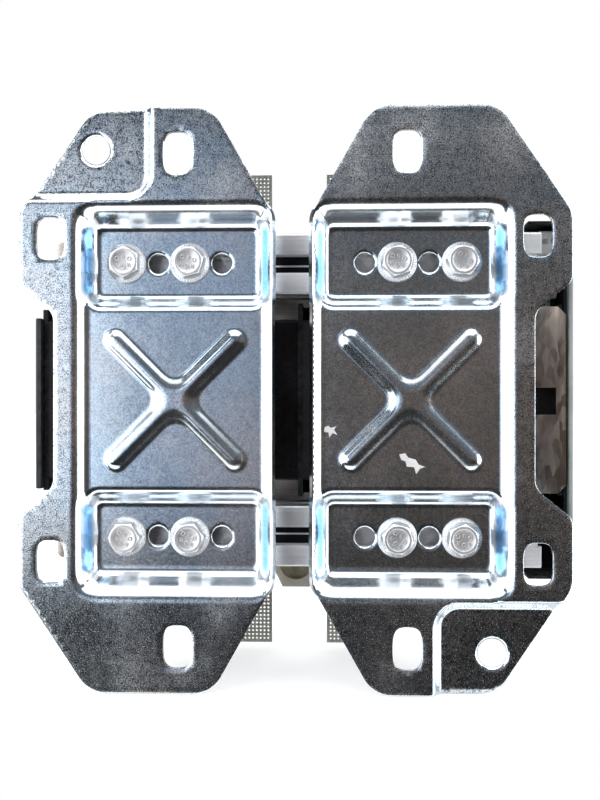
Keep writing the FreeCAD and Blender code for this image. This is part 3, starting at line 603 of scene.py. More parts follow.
@dataclass(frozen=True)
class Board(Finish):
    """Solder-masked board: lighter tracks under a glossy green skin."""

    track: Colour = (0.09, 0.27, 0.13)
    pad: Colour = (0.72, 0.70, 0.62)

    def wire(self, net: Wiring, shader: Node) -> None:
        """Wires the tracks, pads and glass weave.

        Args:
            net: the material's wiring.
            shader: its Principled node.
        """
        cells = net.add("ShaderNodeTexVoronoi", {"feature": "F1", "distance": "CHEBYCHEV"},
                        Vector=net.place(), Scale=330.0, Randomness=0.7)
        rim = net.span(cells.outputs["Distance"], 0.36, 0.42)
        pads = net.span(cells.outputs["Distance"], 0.08, 0.11, 1.0, 0.0)
        weave = KIT.brushed(net, X=2600.0, Y=400.0, Z=2600.0)
        tint = net.mix(rim, self.colour, self.track)
        tint = net.mix(pads, tint, self.pad)
        shader.inputs["Coat Weight"].default_value = 0.4
        height = net.plus(rim, net.times(weave.outputs["Height"], 0.3))
        rough = net.span(weave.outputs["Value"], 0.35, 0.65, 0.22, 0.36)
        skin(net, shader, tint, rough, height, 0.25, 0.00008)


ZINC = ZincPlated("bright_zinc_plate", (0.70, 0.84, 0.97), "zinc_plate")
# the bolts' painted wall reflections are set to their own colour, so they add nothing
BOLT_ZINC = ZincPlated("bolt_zinc", (0.95, 0.96, 0.98), "bright_bolt", warm=(0.97, 0.96, 0.95),
                       rough=(0.38, 0.5), scuff=0.1, speckle=(0.8, 1.05), wall_white=(0.95, 0.96, 0.98),
                       wall_blue=(0.95, 0.96, 0.98))
BLACK_OXIDE = BareSteel("black_oxide", (0.09, 0.09, 0.1), "black_screw", lines=(500.0, 500.0, 500.0),
                        rough=(0.35, 0.5), contrast=0.3)
TURNED = BareSteel("turned_steel", (0.62, 0.62, 0.64), "plain_steel", lines=(120.0, 1800.0, 120.0),
                   rough=(0.2, 0.38))
DRAWN_ALUMINIUM = SlottedRail("drawn_aluminium", (0.97, 0.96, 0.97), "rail_aluminium",
                              lines=(14.0, 1300.0, 1300.0), rough=(0.40, 0.56), contrast=0.16,
                              strength=0.2, wear=0.5)
STRIP_STEEL = BareSteel("rolled_strip", (0.74, 0.67, 0.63), "tie_steel", lines=(18.0, 900.0, 900.0),
                        rough=(0.34, 0.5), contrast=0.3)
GROUND = BareSteel("ground_nickel", (0.70, 0.69, 0.68), "ground_steel", lines=(1500.0, 600.0, 16.0),
                   rough=(0.16, 0.30), contrast=0.14)
LEAF_STEEL = BareSteel("olive_leaf_steel", (0.56, 0.56, 0.50), "perforated_sheet",
                       lines=(700.0, 700.0, 60.0), rough=(0.3, 0.46))
OLIVE = BareSteel("yellow_passivated", (0.42, 0.37, 0.24), "olive_cam", lines=(300.0, 900.0, 300.0),
                  rough=(0.3, 0.5), contrast=0.35)
STRAP_ZINC = Spangled("galvanised_spangle", (0.36, 0.29, 0.25), "galvanised_strap",
                      other=(0.50, 0.43, 0.37))
POWDER = Coated("black_powder_coat", (0.006, 0.006, 0.007), "black_sheet", rough=(0.4, 0.6), peel=1400.0,
                strength=0.3, worn=(0.2, 0.2, 0.21), wear=0.25, vary=0.2, shine=0.12)
CAP_GREY = Coated("dark_grey_paint", (0.05, 0.05, 0.058), "black_sheet", rough=(0.4, 0.6), peel=900.0,
                  strength=0.3, worn=(0.3, 0.3, 0.3), wear=0.3, vary=0.2, shine=0.3)
HOUSING_BLACK = Coated("black_anodised", (0.006, 0.006, 0.007), "black_housing", rough=(0.3, 0.45),
                       peel=2200.0, strength=0.12, worn=(0.12, 0.12, 0.13), wear=0.2, vary=0.2,
                       shine=0.15)
GREY_PAINT = Coated("grey_green_paint", (0.46, 0.51, 0.49), "side_grey", rough=(0.34, 0.5), peel=900.0,
                    strength=0.25, worn=(0.7, 0.7, 0.7))
WHITE_NYLON = Coated("white_nylon", (0.86, 0.86, 0.84), "white_plastic", rough=(0.3, 0.42), peel=600.0,
                     strength=0.1, worn=(0.93, 0.93, 0.92))
CREAM_NYLON = Coated("cream_nylon", (0.82, 0.78, 0.66), "cream_plastic", rough=(0.36, 0.5), peel=700.0,
                     strength=0.15, worn=(0.9, 0.87, 0.8))
RELAY_CASE = Coated("relay_moulding", (0.05, 0.07, 0.13), "relay_case", rough=(0.2, 0.34), peel=900.0,
                    strength=0.08, worn=(0.2, 0.22, 0.3))
SLEEVE = Coated("pale_insulation", (0.74, 0.74, 0.70), "lead_sleeve", rough=(0.34, 0.46), peel=500.0,
                strength=0.12, worn=(0.85, 0.85, 0.82))
RUBBER = Coated("soft_rubber", (0.028, 0.028, 0.028), "rubber", rough=(0.62, 0.8), peel=900.0,
                strength=0.3, worn=(0.08, 0.08, 0.08), wear=0.5)
RESIN = Coated("black_epoxy", (0.02, 0.02, 0.022), "potting_resin", rough=(0.14, 0.3), peel=160.0,
               strength=0.12, worn=(0.06, 0.06, 0.06), wear=0.2)
LAMINATED = Layered("stacked_laminations", (0.52, 0.51, 0.50), "laminated_steel", pitch=0.0010, axis="X")
COPPER = Layered("wound_copper", (0.78, 0.36, 0.18), "copper_winding", pitch=0.0006, axis="Y",
                 gap=(0.16, 0.05, 0.02))
BOARD_GREEN = Board("green_board", (0.04, 0.15, 0.07), "board_green")
WHITE_PAINT = Coated("white_paint", (0.97, 0.97, 0.97), "white_plastic", rough=(0.5, 0.7), peel=900.0,
                     strength=0.3, worn=(0.95, 0.95, 0.95))


# ---- meshes ----------------------------------------------------------------------------------------------
def placed(name: str, data: bpy.types.ID) -> bpy.types.Object:
    """Puts a new object in the scene.

    Args:
        name: its name.
        data: the mesh, light or camera that it shows.

    Returns:
        The object.
    """
    made = bpy.data.objects.new(name, data)
    bpy.context.scene.collection.objects.link(made)
    return made


def faced_out(mesh: Mesh) -> None:
    """Turns all of a mesh's faces outwards.

    Args:
        mesh: the mesh, changed in place.
    """
    work = bmesh.new()
    work.from_mesh(mesh)
    bmesh.ops.recalc_face_normals(work, faces=work.faces)
    work.to_mesh(mesh)
    work.free()


class Bench:
    """Where pieces are made and fitted to their bodies."""

    def __init__(self, frame: dict) -> None:
        """Keeps the frame's CAD nodes, and which body each one is on."""
        self.nodes: dict[str, bpy.types.Object] = frame["nodes"]
        self.body_of = {node: body for body, members in frame["record"]["behaviour"]["bodies"].items()
                        for node in members}

    def mesh(self, name: str, points: Sequence[Point] | np.ndarray, faces: Sequence[Sequence[int]]) -> Mesh:
        """A mesh from points in millimetres.

        Args:
            name: the mesh's name.
            points: its points.
            faces: its faces, by point number.

        Returns:
            The mesh.
        """
        made = bpy.data.meshes.new(name)
        made.from_pydata([tuple(float(v) * MM for v in p) for p in points], [], [tuple(f) for f in faces])
        made.validate()
        made.update()
        return made

    def finished(self, mesh: Mesh, edge: float, segments: int = 2, weld: bool = False,
                 angle: float = 35.0) -> Mesh:
        """Rounds a mesh's sharp edges and sets its smooth shading.

        Args:
            mesh: the mesh to work from.
            edge: width of the rounding, in millimetres, or 0 for none.
            segments: how many faces across the rounding.
            weld: whether points that meet are joined first.
            angle: an edge sharper than this, in degrees, is rounded.

        Returns:
            A new mesh.
        """
        if weld:
            work = bmesh.new()
            work.from_mesh(mesh)
            bmesh.ops.remove_doubles(work, verts=work.verts, dist=1e-6)
            bmesh.ops.dissolve_limit(work, angle_limit=math.radians(0.6), verts=work.verts, edges=work.edges)
            mesh = bpy.data.meshes.new(mesh.name + "_welded")
            work.to_mesh(mesh)
            work.free()
        if edge > 0.0:
            holder = placed("bench_work", mesh)
            bevel = holder.modifiers.new("rounding", "BEVEL")
            bevel.width = edge * MM
            bevel.segments = segments
            bevel.limit_method = "ANGLE"
            bevel.angle_limit = math.radians(angle)
            graph = bpy.context.evaluated_depsgraph_get()
            mesh = bpy.data.meshes.new_from_object(holder.evaluated_get(graph))
            bpy.data.objects.remove(holder)
        mesh.polygons.foreach_set("use_smooth", [True] * len(mesh.polygons))
        mesh.set_sharp_from_angle(angle=math.radians(38.0))
        return mesh

    def fit(self, name: str, mesh: Mesh, finish: Finish, body: str, replaced: Sequence[str] = ()
            ) -> bpy.types.Object:
        """Makes a piece from a mesh and rides it on a body.

        Args:
            name: the piece's name.
            mesh: its mesh, in place.
            finish: its finish.
            body: the CAD body that it rides on.
            replaced: the CAD nodes that it stands for.

        Returns:
            The piece.
        """
        piece = placed(name, mesh)
        mesh.materials.clear()
        mesh.materials.append(finish.material())
        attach(piece, str(getattr(body, "value", body)))
        if replaced:
            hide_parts(*replaced)
        LOG.info("fitted %s (%d faces)", name, len(mesh.polygons))
        return piece

    def soften(self, node: str, finish: Finish, edge: float, segments: int = 2) -> bpy.types.Object:
        """Stands a copy of a CAD node, with its edges rounded in millimetres, in its place."""
        mesh = self.finished(self.nodes[node].data.copy(), edge, segments, weld=True)
        return self.fit(f"fine_{node}", mesh, finish, self.body_of[node], (node,))

    def dress(self, node: str, finish: Finish) -> None:
        """Gives a CAD node that stays a better material.

        Args:
            node: the CAD node.
            finish: its finish.
        """
        piece = self.nodes[node]
        if not piece.material_slots:
            piece.data.materials.append(None)
        for material_slot in piece.material_slots:
            material_slot.material = finish.material()
        LOG.info("dressed %s", node)


def ring_mesh(rings: Sequence[Sequence[Point]]) -> tuple[list[Point], list[Face]]:
    """Skins a stack of closed rings that all have the same number of points, and fills the first and last.

    Args:
        rings: the rings in order.

    Returns:
        The points and faces.
    """
    count = len(rings[0])
    points = [p for ring in rings for p in ring]
    faces: list[Face] = []
    for row in range(len(rings) - 1):
        for i in range(count):
            j = (i + 1) % count
            faces.append((row * count + i, row * count + j, (row + 1) * count + j, (row + 1) * count + i))
    faces.append(tuple(range(count - 1, -1, -1)))
    faces.append(tuple(range((len(rings) - 1) * count, len(rings) * count)))
    return points, faces


# ---- mounting plates -------------------------------------------------------------------------------------
def wall_profile(share: np.ndarray, top: float = 0.42, foot: float = 0.30) -> np.ndarray:
    """A pressed wall's depth from 0 at its rim to 1 at its foot, rounded over its top and foot shares."""
    slope = 1.0 / (1.0 - top / 2.0 - foot / 2.0)
    return np.where(share < top, slope * share ** 2 / (2.0 * top),
                    np.where(share > 1.0 - foot, 1.0 - slope * (1.0 - share) ** 2 / (2.0 * foot),
                             slope * (share - top / 2.0)))


@dataclass(frozen=True)
class Pressing:
    """A pressed-in area: a flat floor with sloping walls round it, in millimetres."""

    x: Pair
    z: Pair
    depth: float
    wall_x: Pair
    wall_z: Pair
    rounding: float = 0.15
    squareness: float = 2.4
    top: float = 0.42
    foot: float = 0.30

    def sunk(self, x: np.ndarray, z: np.ndarray) -> np.ndarray:
        """How deep the area is at some points.

        Args:
            x: the points' X.
            z: the points' Z.

        Returns:
            The depths.
        """
        share = self.rounding
        reach_x = [w / (1.0 - share) for w in self.wall_x]
        reach_z = [w / (1.0 - share) for w in self.wall_z]
        over_x = np.maximum((self.x[0] + share * reach_x[0] - x) / reach_x[0],
                            (x - self.x[1] + share * reach_x[1]) / reach_x[1])
        over_z = np.maximum((self.z[0] + share * reach_z[0] - z) / reach_z[0],
                            (z - self.z[1] + share * reach_z[1]) / reach_z[1])
        power = self.squareness
        out = (np.maximum(over_x, 0.0) ** power + np.maximum(over_z, 0.0) ** power) ** (1.0 / power)
        across = 1.0 - np.clip((out - share) / (1.0 - share), 0.0, 1.0)
        return self.depth * wall_profile(across, self.top, self.foot)


@dataclass
class MountingPlates:
    """The two pressed plates and the specks of paint on them, in millimetres on the right-hand plate. The
    left plate is the right one turned half a turn about Y."""

    sheet: float = 2.5
    inner: float = 8.9
    panel_middle: float = 52.15
    bolt_row: float = 61.5
    fine_step: float = 0.85
    reach: Pair = (122.0, 129.0)
    batch: int = 2000
    edge: float = 0.26
    holes_x: tuple[float, ...] = (32.1, 46.5, 60.9, 75.3)
    hole_r: float = 4.4
    panel: Pressing = Pressing((14.0, 90.6), (-79.5, 79.5), 4.0, (7.2, 7.2), (8.5, 8.5))
    joggle: Pressing = Pressing((66.0, 190.0), (-190.0, -92.3), 4.75, (5.2, 5.2), (5.2, 5.2), 0.6, 2.0, 0.35,
                                0.35)
    pads: tuple[Pressing, ...] = (
        Pressing((17.0, 87.0), (47.9, 75.1), 11.0, (11.2, 11.0), (13.5, 14.2), top=0.5, foot=0.34),
        Pressing((17.0, 87.0), (-75.1, -47.9), 11.0, (11.2, 11.0), (14.2, 13.5), top=0.5, foot=0.34),
    )
    outline: tuple[Point, ...] = (
        (105.6, 38.5, 8.0), (121.7, 51.5, 6.0), (121.7, 81.5, 13.0), (89.75, 129.0, 14.0),
        (35.45, 129.0, 14.0),
    )
    slots: tuple[Pair, ...] = ((107.05, 71.5), (107.05, -71.5), (50.45, 108.7), (50.45, -108.7))
    slot_half: Pair = (6.45, 9.4)
    slot_power: float = 2.0 / 3.3
    corner_hole: Point = (87.85, -111.4, 6.25)
    corner_flare: Pair = (1.0, 1.9)
    bolt_flare: Pair = (0.5, 0.9)
    rib_height: float = 1.9
    rib_half: float = 5.6
    rib_reach: float = 37.3
    rib_blend: float = 8.2
    slot_steps: int = 56
    chamfer_drop: float = 0.55
    clear_of_rim: float = 0.95
    bend: float = 0.004
    speck_sink: float = 0.02
    speck_height: float = 0.10
    speck_taper: float = 0.06

    def depth(self, x: np.ndarray, z: np.ndarray) -> np.ndarray:
        """The front surface's depth behind the mounting face.

        Args:
            x: X of the points, on the right-hand plate.
            z: Z of the points.

        Returns:
            The depths, in millimetres.
        """
        panel = self.panel.sunk(x, z)
        pads = np.maximum(self.pads[0].sunk(x, z), self.pads[1].sunk(x, z))
        soft = np.minimum(2.4, np.minimum(panel, pads) * 0.9) + 1e-6
        meet = np.maximum(soft - np.abs(panel - pads), 0.0) / soft
        dish = np.maximum(panel, pads) + meet ** 2 * soft / 4.0
        total = np.maximum(dish, self.joggle.sunk(x, z))
        total = total - self.rib_height * self.rib(x - self.panel_middle, z)
        hole_x, hole_z, hole_r = self.corner_hole
        away = np.hypot(x - hole_x, z - hole_z) - hole_r
        total = total + self.corner_flare[0] * np.clip(1.0 - away / self.corner_flare[1], 0.0, 1.0) ** 2
        for centre in self.holes_x:
            away = np.hypot(x - centre, np.abs(z) - self.bolt_row) - self.hole_r
            total = total + self.bolt_flare[0] * np.clip(1.0 - away / self.bolt_flare[1], 0.0, 1.0)
        return total

    def rib(self, x: np.ndarray, z: np.ndarray) -> np.ndarray:
        """How far the cross stands up, from 0 to 1.

        Args:
            x: X from the cross's middle.
            z: Z from the cross's middle.

        Returns:
            The share of the rib's full height.
        """
        away = []
        for sign in (1.0, -1.0):
            along = (x + sign * z) / math.sqrt(2.0)
            along = np.clip(along, -self.rib_reach, self.rib_reach) / math.sqrt(2.0)
            away.append(np.hypot(x - along, z - sign * along))
        meet = np.maximum(self.rib_blend - np.abs(away[0] - away[1]), 0.0) / self.rib_blend
        near = np.minimum(away[0], away[1]) - meet ** 2 * self.rib_blend / 4.0
        return wall_profile(1.0 - np.clip(near / self.rib_half, 0.0, 1.0), 0.25, 0.62)

    def outline_points(self) -> Path:
        """The plate's outline with its corners rounded, as close points all the way round."""
        upper = [*self.outline, (self.inner, 82.0, 8.0)]
        corners = [(x, -z, r) for x, z, r in reversed(upper)] + upper
        path: Path = []
        for i, (cx, cz, radius) in enumerate(corners):
            here = Vector((cx, cz))
            before = Vector(corners[i - 1][:2]) - here
            after = Vector(corners[(i + 1) % len(corners)][:2]) - here
            half = before.angle(after) / 2.0
            start = here + before.normalized() * (radius / math.tan(half))
            end = here + after.normalized() * (radius / math.tan(half))
            inwards = (before.normalized() + after.normalized()).normalized()
            centre = here + inwards * (radius / math.sin(half))
            first = math.atan2(start.y - centre.y, start.x - centre.x)
            sweep = math.remainder(math.atan2(end.y - centre.y, end.x - centre.x) - first, 2.0 * math.pi)
            steps = max(3, int(abs(sweep) * radius / 1.1))
            for k in range(steps + 1):
                angle = first + sweep * k / steps
                path.append((centre.x + radius * math.cos(angle), centre.y + radius * math.sin(angle)))
        return self.spaced(path)

    def spaced(self, path: Path) -> Path:
        """Adds points to a closed path's long runs.

        Args:
            path: the path.

        Returns:
            The path with no run longer than about 1.4 mm.
        """
        out: Path = []
        for i, (x0, z0) in enumerate(path):
            x1, z1 = path[(i + 1) % len(path)]
            steps = max(1, round(math.hypot(x1 - x0, z1 - z0) / 1.3))
            out.extend((x0 + (x1 - x0) * k / steps, z0 + (z1 - z0) * k / steps) for k in range(steps))
        return out

    def slot_points(self, x: float, z: float) -> Path:
        """A frame-bolt slot, taller than wide, with its corners rounded into its ends.

        Args:
            x: its middle.
            z: its middle.

        Returns:
            The slot's outline.
        """
        path = []
        for k in range(self.slot_steps):
            angle = math.tau * k / self.slot_steps
            across, up = math.cos(angle), math.sin(angle)
            path.append((x + self.slot_half[0] * math.copysign(abs(across) ** self.slot_power, across),
                         z + self.slot_half[1] * math.copysign(abs(up) ** self.slot_power, up)))
        return path

    def circle_points(self, x: float, z: float, radius: float) -> Path:
        """A round hole's outline, as 32 points."""
        return [(x + radius * math.cos(math.tau * k / 32), z + radius * math.sin(math.tau * k / 32))
                for k in range(32)]

    def loops(self) -> list[Path]:
        """The outline, then each hole."""
        found = [self.outline_points()]
        found.extend(self.slot_points(x, z) for x, z in self.slots)
        found.extend(self.circle_points(x, sign * self.bolt_row, self.hole_r)
                     for x in self.holes_x for sign in (1.0, -1.0))
        found.append(self.circle_points(*self.corner_hole))
        return found

    def on_sheet(self, points: np.ndarray, loops: list[Path]) -> np.ndarray:
        """Finds which points are inside the outline and outside every hole.

        Args:
            points: the points, one to a row.
            loops: the outline, then the holes.

        Returns:
            True or False for each point.
        """
        inside = np.zeros(len(points), bool)
        for loop in loops:
            for (x0, z0), (x1, z1) in zip(loop, (*loop[1:], loop[0])):
                between = (z0 > points[:, 1]) != (z1 > points[:, 1])
                reach = x0 + (points[:, 1] - z0) * (x1 - x0) / (z1 - z0 if z1 != z0 else 1.0)
                inside ^= between & (points[:, 0] < reach)
        return inside

    def inside_points(self, loops: list[Path]) -> np.ndarray:
        """Points over the sheet: close together on the curves, wide apart on the flats.

        Args:
            loops: the outline and holes.

        Returns:
            The points, clear of every edge.
        """
        step = self.fine_step
        xs = np.arange(self.inner, self.reach[0], step)
        zs = np.arange(-self.reach[1], self.reach[1], step)
        grid_x, grid_z = np.meshgrid(xs, zs, indexing="ij")
        depth = self.depth(grid_x, grid_z)
        curve = np.zeros_like(depth)
        curve[1:-1, :] += np.abs(depth[2:, :] - 2 * depth[1:-1, :] + depth[:-2, :])
        curve[:, 1:-1] += np.abs(depth[:, 2:] - 2 * depth[:, 1:-1] + depth[:, :-2])
        curved = curve > self.bend
        for axis in (0, 1):
            curved |= np.roll(curved, 1, axis) | np.roll(curved, -1, axis)
        index_x, index_z = np.meshgrid(np.arange(len(xs)), np.arange(len(zs)), indexing="ij")
        wanted = curved | ((index_x % 3 == 0) & (index_z % 3 == 0))
        points = np.column_stack([grid_x[wanted], grid_z[wanted]])
        keep = self.on_sheet(points, loops)
        rim = np.array([p for loop in loops for p in loop])
        clear = np.ones(len(points), bool)
        for start in range(0, len(points), self.batch):
            block = points[start:start + self.batch]
            apart = block[:, None, :] - rim[None, :, :]
            gap = np.min(np.hypot(apart[:, :, 0], apart[:, :, 1]), axis=1)
            clear[start:start + self.batch] = gap > self.clear_of_rim
        return points[keep & clear]

    def chamfer_points(self, loops: list[Path]) -> np.ndarray:
        """Points just inside every edge, where the chamfer along the edge ends.

        Args:
            loops: the outline and holes.

        Returns:
            The points.
        """
        found = []
        for loop in loops:
            ring = np.array(loop)
            along = np.roll(ring, -1, axis=0) - np.roll(ring, 1, axis=0)
            across = np.column_stack([-along[:, 1], along[:, 0]]) / np.linalg.norm(along, axis=1)[:, None]
            for sign in (1.0, -1.0):
                moved = ring + sign * self.edge * across
                found.append(moved[self.on_sheet(moved, loops)])
        return np.vstack(found)

    def sheet_mesh(self) -> tuple[np.ndarray, list[Face]]:
        """The right-hand plate: its front, its back one sheet behind, and the cut edges between.

        Returns:
            Points and faces.
        """
        loops = self.loops()
        flat = [Vector(p) for loop in loops for p in loop]
        edges = []
        start = 0
        for loop in loops:
            edges.extend((start + i, start + (i + 1) % len(loop)) for i in range(len(loop)))
            start += len(loop)
        flat.extend(Vector(p) for p in self.chamfer_points(loops))
        flat.extend(Vector(p) for p in self.inside_points(loops))
        verts, _, faces, sources, *_ = geometry.delaunay_2d_cdt(flat, edges, [], 0, 1e-5)
        x = np.array([v.x for v in verts])
        z = np.array([v.y for v in verts])
        at_edge = np.array([any(source < start for source in found) for found in sources])
        corners = np.array(faces)
        middles = np.column_stack([x[corners].mean(axis=1), z[corners].mean(axis=1)])
        faces = corners[self.on_sheet(middles, loops)].tolist()
        front = np.column_stack([x, self.depth(x, z), z])
        nudge = 0.05
        slope_x = (self.depth(x + nudge, z) - self.depth(x - nudge, z)) / (2 * nudge)
        slope_z = (self.depth(x, z + nudge) - self.depth(x, z - nudge)) / (2 * nudge)
        inward = np.column_stack([-slope_x, np.ones_like(x), -slope_z])
        inward /= np.linalg.norm(inward, axis=1)[:, None]
        drop = self.chamfer_drop * self.edge * at_edge
        back = front + inward * (self.sheet - drop)[:, None]
        front = front + inward * drop[:, None]
        count = len(front)
        made: list[Face] = []
        rims: dict[tuple[int, int], int] = {}
        for face in faces:
            made.append(tuple(face))
            made.append(tuple(count + i for i in reversed(face)))
            for a, b in zip(face, (*face[1:], face[0])):
                if (b, a) in rims:
                    del rims[(b, a)]
                else:
                    rims[(a, b)] = 1
        made.extend((b, a, count + a, count + b) for a, b in rims)
        return np.vstack([front, back]), made

    def build(self, bench: Bench) -> None:
        """Makes both plates.

        Args:
            bench: where they are fitted.
        """
        points, faces = self.sheet_mesh()
        plain = bench.mesh("plate_sheet", points, faces)
        right = bench.finished(plain, 0.0)
        left = right.copy()
        left.transform(Matrix.Rotation(math.pi, 4, "Y"))
        bench.fit("pressed_plate_right", right, ZINC, Side.RIGHT.plate, ("right_mounting_plate",))
        bench.fit("pressed_plate_left", left, ZINC, Side.LEFT.plate, ("left_mounting_plate",))

    def specks(self, bench: Bench) -> None:
        """Adds the two specks of white paint on the right-hand panel.

        Args:
            bench: where they are fitted.
        """
        shapes = {
            "paint_speck_small": [(14.3, -11.9), (15.9, -11.4), (17.0, -12.3), (19.4, -11.6), (18.4, -13.1),
                                  (19.9, -15.4), (17.7, -14.7), (16.3, -16.6), (15.9, -14.4), (13.9, -14.1)],
            "paint_speck_long": [(47.0, -23.9), (49.6, -23.4), (50.9, -25.3), (54.3, -26.2), (55.6, -28.4),
                                 (58.4, -29.4), (56.1, -30.3), (54.5, -32.6), (53.6, -29.6), (50.3, -29.3),
                                 (49.8, -27.1), (47.9, -26.3)],
        }
        for name, outline in shapes.items():
            x = np.array([p[0] for p in outline])
            z = np.array([p[1] for p in outline])
            low = self.depth(x, z) - self.speck_sink
            count = len(outline)
            points = [(a, b, c) for a, b, c in zip(x, low, z)]
            points += [(a + (x.mean() - a) * self.speck_taper, b - self.speck_height,
                        c + (z.mean() - c) * self.speck_taper) for a, b, c in zip(x, low, z)]
            faces = [(i, (i + 1) % count, count + (i + 1) % count, count + i) for i in range(count)]
            faces += [tuple(range(count, 2 * count)), tuple(range(count - 1, -1, -1))]
            mesh = bench.finished(bench.mesh(name, points, faces), 0.04)
            bench.fit(name, mesh, WHITE_PAINT, Side.RIGHT.plate)


@dataclass
class FlangeBolts:
    """The eight flange bolts: a hexagon on a serrated flange, with plain raised marks on its head."""

    seat: float = 11.0
    across: float = 12.7
    corner: float = 14.6
    flange_r: float = 8.95
    top_y: float = 3.05
    points_round: int = 264
    teeth: int = 44
    fitted_x: Pair = (46.5, 75.3)
    row_z: float = 61.5
    turns: tuple[float, ...] = (0.30, 0.42, 0.02, 0.52, 0.21, 0.77, 0.61, 0.12)
    skirt: Pair = (7.1, 8.5)
    skirt_slope: float = 0.75
    tooth_depth: float = 0.34
    top_rings: tuple[Pair, ...] = ((0.8, 0.42), (4.5, 0.42), (4.95, 0.08), (5.2, 0.0), (5.85, 0.0),
                                   (6.12, 0.10))
    tooth_rings: tuple[Pair, ...] = ((7.50, 0.0), (7.60, 1.0), (8.46, 1.0), (8.56, 0.0))
    rim_rings: tuple[Pair, ...] = ((8.70, 8.62), (8.88, 8.95), (8.95, 9.2))
    thread_r: Pair = (3.95, 3.45)
    thread_pitch: float = 0.62
    thread_turns: int = 17
    mark_spots: tuple[Pair, ...] = ((-2.7, 1.3), (0.0, 1.9), (2.7, 1.3), (-2.2, -1.6), (0.3, -2.1),
                                    (2.6, -1.5))
    mark_layers: tuple[Pair, ...] = ((0.46, 0.0), (0.10, 0.03), (-0.02, 0.09))
    mark_half: float = 0.22

    def hexagon(self, angle: float) -> float:
        """The hexagon's radius in one direction, its corners slightly rounded.

        Args:
            angle: the direction, in radians.

        Returns:
            The radius.
        """
        sixth = math.pi / 3.0
        off = math.remainder(angle, sixth)
        return min(self.across / 2.0 / math.cos(off), self.corner / 2.0)

    def ring(self, radius: Callable[[float], float], y: Callable[[float], float]) -> list[Point]:
        """One ring of the bolt, from its radius and its Y in each direction."""
        return [(radius(t) * math.cos(t), y(t), radius(t) * math.sin(t))
                for t in (math.tau * k / self.points_round for k in range(self.points_round))]

    def even_ring(self, radius: float, y: float) -> list[Point]:
        """A round, level ring."""
        return self.ring(lambda _: radius, lambda _: y)

    def skirt_y(self, radius: float) -> float:
        """Y of the flange's sloping face at a radius."""
        return self.skirt[1] + (radius - self.skirt[0]) * self.skirt_slope

    def cone_y(self, angle: float) -> float:
        """Y of the chamfer that cuts the hexagon's top corners."""
        return self.top_y + 0.12 + (self.hexagon(angle) - 6.15) * 0.62

    def foot_r(self, angle: float) -> float:
        """Radius of the fillet under the hexagon."""
        return max(self.hexagon(angle) + 0.3, 7.4)

    def tooth_ring(self, radius: float, share: float) -> list[Point]:
        """A ring on the sloping face, cut down between its teeth by a share of their depth."""
        cut = self.tooth_depth * share
        return self.ring(lambda _: radius,
                         lambda t: self.skirt_y(radius) - cut * max(0.0, math.sin(self.teeth * t)) ** 0.6)

    def head(self) -> tuple[list[Point], list[Face]]:
        """The bolt, from the middle of its top face over the flange and down its thread."""
        rings = [self.even_ring(radius, self.top_y + rise) for radius, rise in self.top_rings]
        rings += [
            self.ring(lambda t: self.hexagon(t) - 0.05, self.cone_y),
            self.ring(self.hexagon, lambda t: self.cone_y(t) + 0.12),
            self.ring(self.hexagon, lambda t: self.skirt_y(self.hexagon(t)) - 0.7),
            self.ring(lambda t: self.hexagon(t) + 0.15, lambda t: self.skirt_y(self.hexagon(t)) - 0.2),
            self.ring(self.foot_r, lambda t: self.skirt_y(self.foot_r(t))),
        ]
        rings += [self.tooth_ring(radius, share) for radius, share in self.tooth_rings]
        rings += [self.even_ring(radius, self.skirt_y(level)) for radius, level in self.rim_rings]
        rings.append(self.even_ring(self.flange_r, self.seat - 0.15))
        rings.append(self.even_ring(self.flange_r - 0.12, self.seat))
        rings.append(self.even_ring(4.0, self.seat))
        for turn in range(self.thread_turns):
            y = self.seat + 0.5 + self.thread_pitch * turn
            rings.append(self.even_ring(self.thread_r[0], y))
            rings.append(self.even_ring(self.thread_r[1], y + self.thread_pitch / 2.0))
        return ring_mesh(rings)

    def marks(self) -> tuple[list[Point], list[Face]]:
        """Plain raised marks in two rows on the head: rings and pairs of bars that say nothing."""
        points: list[Point] = []
        faces: list[Face] = []
        bars: list[tuple[float, float, float, float]] = []
        for number, (x, z) in enumerate(self.mark_spots):
            if number % 2:
                bars += [(x - 0.42, z, 0.2, 1.3), (x + 0.42, z, 0.2, 1.3)]
            else:
                bars += [(x + 0.72 * math.cos(math.tau * k / 7), z + 0.85 * math.sin(math.tau * k / 7),
                          math.tau * k / 7, 0.45) for k in range(7)]
        for x, z, angle, length in bars:
            middle = Vector((x, z))
            along = Vector((-math.sin(angle), math.cos(angle)))
            rows = []
            for rise, shrink in self.mark_layers:
                ring = []
                for k in range(12):
                    turn = math.tau * k / 12
                    half = self.mark_half - shrink
                    end = math.copysign(length / 2.0, math.cos(turn))
                    spot = middle + along * (end + half * math.cos(turn))
                    spot += along.orthogonal() * half * math.sin(turn)
                    ring.append((spot.x, self.top_y + rise, spot.y))
                rows.append(ring)
            new_points, new_faces = ring_mesh(rows)
            faces.extend(tuple(len(points) + i for i in face) for face in new_faces)
            points.extend(new_points)
        return points, faces

